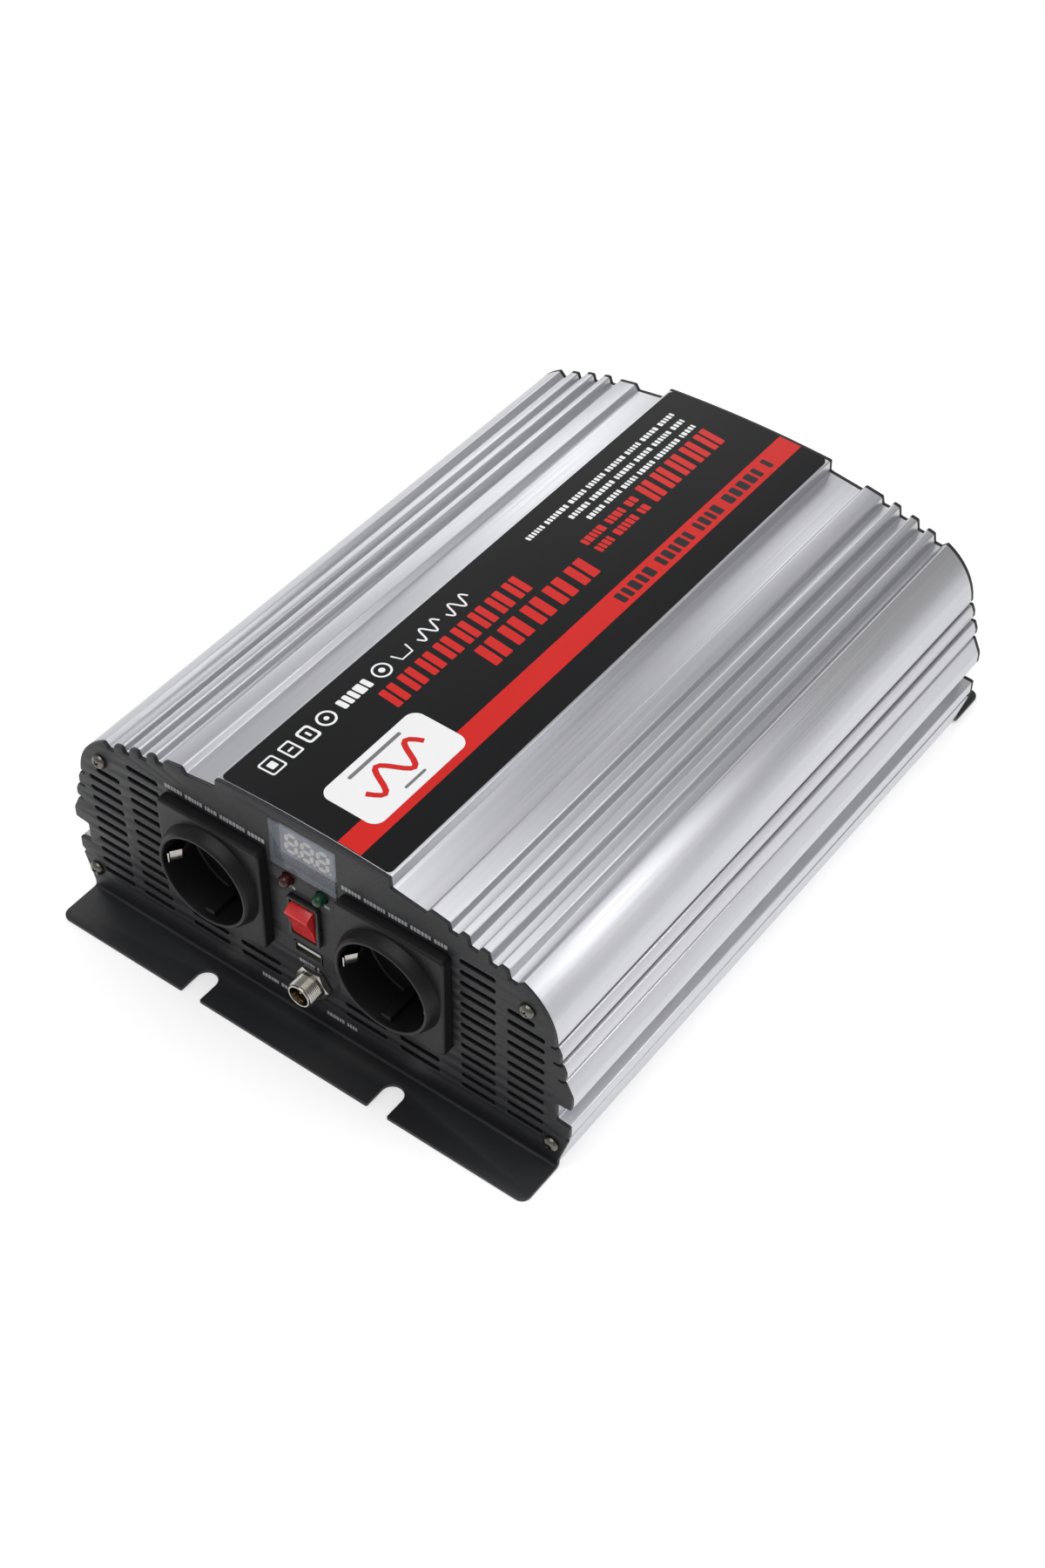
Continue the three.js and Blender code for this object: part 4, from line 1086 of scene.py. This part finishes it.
def remote_shell():
    threads = []
    z = -9.2
    while z < -3.2:
        threads += [(5.3, z), (5.75, z + 0.375)]
        z += 0.75
    profile = [
        (4.4, -1), (4.4, -10, 0.2), (5.1, -10, 0.3), (5.3, -9.6),
        *threads,
        (5.3, z), (5.75, z + 0.2), (5.75, 1.8), (7.6, 1.8, 0.3), (7.6, 3.8, 0.3), (5.3, 3.8),
        (5.3, 9, 0.2), (3.9, 9), (3.9, -1),
    ]
    return moved(lathe(profile), REMOTE_PLACE)


def remote_nut():
    """A hexagon nut whose front corners are turned off."""
    radius, low, high = 8.3, -2.8, -GAP
    nut = prism(polygon(radius, 6, 0.3), [circle(6.0, sides=48)], low, high)
    reach = radius * math.cos(math.pi / 6) - 0.1
    wide = radius + 0.1
    turned = [(0, low - 0.01), (reach, low - 0.01), (wide, low + 0.75)]
    turned += [(wide, high + 0.1), (0, high + 0.1)]
    return moved(combine(nut, "INTERSECT", lathe(turned, 72)), REMOTE_PLACE)


def remote_insert():
    face = lathe([(0, -3), (4.1, -3, 0.3), (4.1, -1.3), (3.6, -1.3), (3.6, 11, 0.3), (0, 11)], 48)
    key = prism(rectangle(1.2, 0.9, 0.1, 0, 3.9), [], -3.2, -2)
    return moved(combine(face, "DIFFERENCE", key), REMOTE_PLACE)


def remote_pins():
    bm = bmesh.new()
    pin = mesh_of(lathe([(0, -7.4), (0.5, -7.4, 0.45), (0.5, -2.6), (0, -2.6)], 20))
    for k in range(4):
        turn = math.pi / 4 + k * math.pi / 2
        place = at(2.1 * math.cos(turn), 2.1 * math.sin(turn), 0)
        bm.from_mesh(mesh_of(moved(copy_of(pin), place)))
    return moved(bm, REMOTE_PLACE)


stand_in("usb_shell", usb_shell(), DULL_NICKEL)
stand_in("usb_insert", usb_insert(), PORT)
mesh_piece("usb_contacts", usb_contacts(), BRASS)
for part, bm, material, slot in (
    ("shell", remote_shell(), NICKEL, "nickel_plate"),
    ("nut", remote_nut(), NICKEL, "nickel_plate"),
    ("insert", remote_insert(), FITTING, "fitting_plastic"),
):
    stand_in(f"remote_connector_{part}", bm, material, name=f"remote_{part}_fine")
mesh_piece("remote_pins", remote_pins(), BRASS)

# ---- Print on the panels ----
def on_front(shapes):
    bm = bmesh.new()
    for shape in shapes:
        add_prism(bm, shape, [], -INK, 0.01)
    return moved(bm, at(0, PANEL_FRONT, 0) @ ALONG_Y)


# Lines of print on the front panel: from z, to z, from x, to x, seed.
FRONT_LINES = [
    (86.6, 88.7, 18, 67, 11),
    (86.6, 88.7, -67, -18, 12),
    (7.4, 9.4, -26, -8.4, 13),
    (7.4, 9.4, 6.5, 21.5, 14),
    (30.4, 32.2, -5.6, 4.4, 15),
    (70.6, 71.9, -11.6, -4.6, 16),
    (70.6, 71.9, 4.6, 11.6, 17),
]


def front_print():
    shapes = [shape for line in FRONT_LINES for shape in greeked(*line, 0.3)]
    return on_front([[p.yx for p in shape] for shape in shapes])


def rear_print():
    """Polarity signs over the terminals and the earth sign beside its screw."""
    signs = [rectangle(7, 1.5, 0.2, 78, 66)]
    signs += [rectangle(1.5, 2.6, 0.2, 78, z) for z in (68.15, 63.85)]
    signs.append(rectangle(7, 1.5, 0.2, -78, 66))
    earth_x, earth_z = -centre("earth_screw").x + 12, 17
    signs.append(rectangle(0.8, 3.4, 0.1, earth_x, earth_z + 2.3))
    for k, width in enumerate((6, 4, 2)):
        signs.append(rectangle(width, 0.8, 0.1, earth_x, earth_z + 0.2 - 1.6 * k))
    return moved(on_front(signs), HALF_TURN)


mesh_piece("front_panel_print", front_print(), PANEL_INK)
mesh_piece("rear_panel_print", rear_print(), PANEL_INK)

# ---- Fan ----
INNER_FACE = -PANEL_FRONT - SHEET
FAN_PLACE = at(0, INNER_FACE, fan_z) @ ALONG_Y


def fan_frame():
    front, back = -25.3, -0.3
    holes = [circle(38, sides=96)]
    holes += [circle(FAN_SCREW_HOLE, sx * FAN_SCREW, sz * FAN_SCREW, 24) for sx, sz in CORNERS]
    ends = ((back - 4, back), (front, front + 4))
    plates = [prism(rectangle(80, 80, 4), holes, *end, 0.4, 0.4) for end in ends]
    duct = lathe([(38, front + 1), (39.6, front + 1), (39.6, back - 1), (38, back - 1)], 96)
    mount = lathe([(1.75, front), (14, front, 0.4), (14, front + 3, 0.4), (1.75, front + 3)], 64)
    struts = []
    for k in range(4):
        strut = prism(rectangle(27.5, 4, 0.3, 25.75, 0), [], front, front + 3, 0.3, 0.3)
        struts.append(moved(strut, Matrix.Rotation(math.pi / 4 + k * math.pi / 2, 4, "Z")))
    return moved(combine(plates[0], "UNION", plates[1], duct, mount, *struts), FAN_PLACE)


BLADE_COUNT = 7
BLADE_ROOT = 15
BLADE_TIP = 36.4


def fan_blade(turn, front, back):
    """A swept blade, as a closed sheet from the hub to the tip."""
    bm = bmesh.new()
    rows, columns = 9, 11
    grid = []
    for i in range(rows):
        radius = BLADE_ROOT + (BLADE_TIP - BLADE_ROOT) * i / (rows - 1)
        row = []
        for k in range(columns):
            share = k / (columns - 1)
            pitch = 0.62 - 0.012 * (radius - BLADE_ROOT)
            sweep = 0.1 * math.sin(math.pi * i / (rows - 1))
            angle = turn + (share - 0.5) * (1.02 + 0.006 * radius) + sweep
            height = front + (back - front) * (0.5 + (share - 0.5) * pitch * 1.5)
            height += 1.4 * math.sin(math.pi * share)
            thick = 0.35 + 0.65 * math.sin(math.pi * (0.08 + 0.84 * share))
            x, y = radius * math.cos(angle), radius * math.sin(angle)
            row.append((bm.verts.new((x, y, height + thick)), bm.verts.new((x, y, height - thick))))
        grid.append(row)
    for i in range(rows - 1):
        for k in range(columns - 1):
            for layer in (0, 1):
                quad = (grid[i][k], grid[i + 1][k], grid[i + 1][k + 1], grid[i][k + 1])
                bm.faces.new([corner[layer] for corner in quad]).smooth = True
    border = [(i, 0) for i in range(rows)] + [(rows - 1, k) for k in range(1, columns)]
    border += [(i, columns - 1) for i in range(rows - 2, -1, -1)]
    border += [(0, k) for k in range(columns - 2, 0, -1)]
    for (i, k), (m, n) in zip(border, border[1:] + border[:1]):
        bm.faces.new((grid[i][k][0], grid[m][n][0], grid[m][n][1], grid[i][k][1]))
    return bm


def fan_rotor():
    front, back = -21.5, -1.8
    hub = lathe([(0, front), (16, front, 0.8), (16, back, 1.6), (0, back)], 72)
    shaft = lathe([(0, -24.8), (1.5, -24.8, 0.3), (1.5, front + 1), (0, front + 1)], 24)
    turns = [2 * math.pi * k / BLADE_COUNT for k in range(BLADE_COUNT)]
    blades = [fan_blade(turn, front, back) for turn in turns]
    return moved(combine(hub, "UNION", shaft, *blades), FAN_PLACE)


stand_in("fan_frame", fan_frame(), FAN)
stand_in("fan_rotor", fan_rotor(), FAN, "fan_rotor")

# ---- Battery terminals and earth screw ----
STUD_BORE = 4.3


def insulator():
    sleeve = [(STUD_BORE, -7, 0.2), (7.4, -7, 0.3), (7.4, GAP)]
    flange = [(13, GAP, 0.3), (13, 3.4, 0.5), (11.8, 4.2, 0.8), (STUD_BORE, 4.2, 0.2)]
    return lathe(sleeve + flange, 80)


def terminal_post():
    threads = []
    z = 6.4
    while z < 17:
        threads += [(3.55, z), (4, z + 0.6)]
        z += 1.25
    stud = [(0, -24), (4, -24, 0.4), (4, 4.5), (8, 4.5, 0.2), (8, 6.1, 0.2), (3.7, 6.1)]
    return lathe([*stud, *threads, (3.3, 18.6, 0.3), (0, 18.6)], 48)


def terminal_washer():
    outer = [(9, 6.4, 0.2), (9, 7.9, 0.2)]
    return lathe([(STUD_BORE, 6.4, 0.15), *outer, (STUD_BORE, 7.9, 0.15)], 64)


def terminal_knob():
    outline = []
    for k in range(240):
        angle = 2 * math.pi * k / 240
        swell = math.cos(10 * angle)
        radius = 10.15 + 0.65 * (swell if swell > 0 else swell * 0.75)
        outline.append(Vector((radius * math.cos(angle), radius * math.sin(angle))))
    solid = prism(outline, [], 8.2, 20.1, 0.5, 1.2, 5)
    bore = lathe([(0, 7), (STUD_BORE, 7), (STUD_BORE, 18.9, 0.4), (0, 18.9)], 48)
    dish = lathe([(0, 19.5, 0), (6.4, 19.5, 0.5), (7.2, 21), (0, 21)], 64)
    return combine(solid, "DIFFERENCE", bore, dish)


def earth_screw():
    washer = lathe([(0, GAP), (6.6, GAP, 0.3), (6.6, 1.6, 0.4), (0, 1.6)], 64)
    shank = lathe([(0, -9), (2.5, -9, 0.4), (2.8, -8), (2.8, 1), (0, 1)], 32)
    head = prism(polygon(5.6, 6, 0.2, math.pi / 6), [], 1.4, 5.4)
    dome = lathe([(0, 1), (6, 1), (6, 4.4), (4.7, 5.39), (0, 5.39)], 64)
    head = combine(head, "INTERSECT", dome)
    return combine(washer, "UNION", shank, head)


for side, look in (("positive", POSITIVE), ("negative", NEGATIVE)):
    spot = centre(f"{side}_terminal_post")
    place = at(spot.x, -PANEL_FRONT, spot.z) @ ALONG_Y
    plastic = f"{side}_plastic"
    for part, bm, material, body, slot in (
        ("insulator", insulator(), look, "case", plastic),
        ("post", terminal_post(), BRASS, "case", "brass"),
        ("washer", terminal_washer(), BRASS, f"{side}_washer", "brass"),
        ("knob", terminal_knob(), look, f"{side}_knob", plastic),
    ):
        stand_in(f"{side}_terminal_{part}", moved(bm, place), material, body)

earth_spot = centre("earth_screw")
earth_place = at(earth_spot.x, -PANEL_FRONT, earth_spot.z) @ ALONG_Y
stand_in("earth_screw", moved(earth_screw(), earth_place), ZINC)

# ---- CAD nodes that stay ----
SIDES = ("left", "right")
KEPT = [
    (BOARD, ["main_board"]),
    (FERRITE, [f"{side}_transformer" for side in SIDES]),
    (COPPER, ["output_choke"]),
    (SLEEVE, ["input_capacitor", "output_capacitor"]),
    (CLAMP, [f"{side}_transistor_bar" for side in SIDES]),
    (BRASS, [f"{side}_socket_{row}_contact" for side in SIDES for row in ("upper", "lower")]),
]
for material, nodes in KEPT:
    for node in nodes:
        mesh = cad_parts[node].data
        mesh.materials.clear()
        mesh.materials.append(material)

# ---- Studio ----
scene = bpy.context.scene
scene.view_settings.view_transform = "Standard"
scene.view_settings.look = "None"
scene.view_settings.exposure = 0.0

world = bpy.data.worlds.new("studio")
scene.world = world
world.use_nodes = True
world.node_tree.nodes["Background"].inputs["Color"].default_value = (1.0, 1.0, 1.0, 1)
world.node_tree.nodes["Background"].inputs["Strength"].default_value = 0.4


def softbox(name, place, aim, width, height, power):
    light = bpy.data.lights.new(name, "AREA")
    light.shape = "RECTANGLE"
    light.size = width
    light.size_y = height
    light.energy = power
    lamp = bpy.data.objects.new(name, light)
    lamp.location = place
    lamp.rotation_euler = (Vector(aim) - Vector(place)).to_track_quat("-Z", "Y").to_euler()
    scene.collection.objects.link(lamp)


softbox("left_softbox", (-1.5, 0.75, 0.62), (-0.05, 0, 0.06), 1.5, 0.6, 4.6)
softbox("right_softbox", (1.35, 0.35, 0.45), (0.1, -0.13, 0.06), 0.4, 0.35, 0.5)
softbox("back_panel", (-1.0, 1.9, 1.1), (-0.08, 0.1, 0.08), 1.0, 0.55, 6.4)
softbox("overhead", (0.1, -0.4, 1.7), (0, 0, 0), 1.4, 1.4, 12)
softbox("shoulder_light", (0.8, 0.18, 0.72), (0.11, -0.15, 0.07), 0.36, 0.3, 1.9)
softbox("front_left_fill", (-0.75, -0.75, 0.55), (-0.12, -0.1, 0), 0.5, 0.4, 0.5)

floor_mesh = bpy.data.meshes.new("floor")
floor_mesh.from_pydata([(-6, -6, 0), (6, -6, 0), (6, 6, 0), (-6, 6, 0)], [], [(0, 1, 2, 3)])
floor = bpy.data.objects.new("floor", floor_mesh)
scene.collection.objects.link(floor)
paper = Nodes("floor_paper", (0.93, 0.93, 0.93), 0.8, 0.0, specular_ior_level=0.1)
paper.set("Emission Color", (1, 1, 1, 1))
reach = paper.node("ShaderNodeVectorMath", operation="LENGTH")
paper.link(paper.place, reach.inputs[0])
distance = reach.outputs["Value"]
paper.link(paper.ranged(distance, 0.34, 0.2, 0.75, 1.3), paper.surface.inputs["Emission Strength"])
paper.blend(paper.ranged(distance, 0.0, 1.0, 0.8, 1.8), (0.5, 0.5, 0.5))
floor.data.materials.append(paper.material)

# ---- Camera ----
# Solved from the photo's straight edges, in metres and in the row frame.
CAMERA_PLACE = (0.4178, -0.5849, 0.7468)
CAMERA_FORWARD = (-0.412167, 0.563817, -0.715702)
CAMERA_ROLL = math.radians(-0.602)
CAMERA_LENS = 56.72
CAMERA_SENSOR = 36

camera_data = bpy.data.cameras.new("camera")
camera_data.sensor_width = CAMERA_SENSOR
camera_data.lens = CAMERA_LENS
camera = bpy.data.objects.new("camera", camera_data)
scene.collection.objects.link(camera)
scene.camera = camera
forward = Vector(CAMERA_FORWARD).normalized()
aside = forward.cross(Vector((0, 0, 1))).normalized()
upright = aside.cross(forward)
up = upright * math.cos(CAMERA_ROLL) + aside * math.sin(CAMERA_ROLL)
right = forward.cross(up)
axes = Matrix((right, up, -forward)).transposed().to_4x4()
camera.matrix_world = Matrix.Translation(CAMERA_PLACE) @ axes
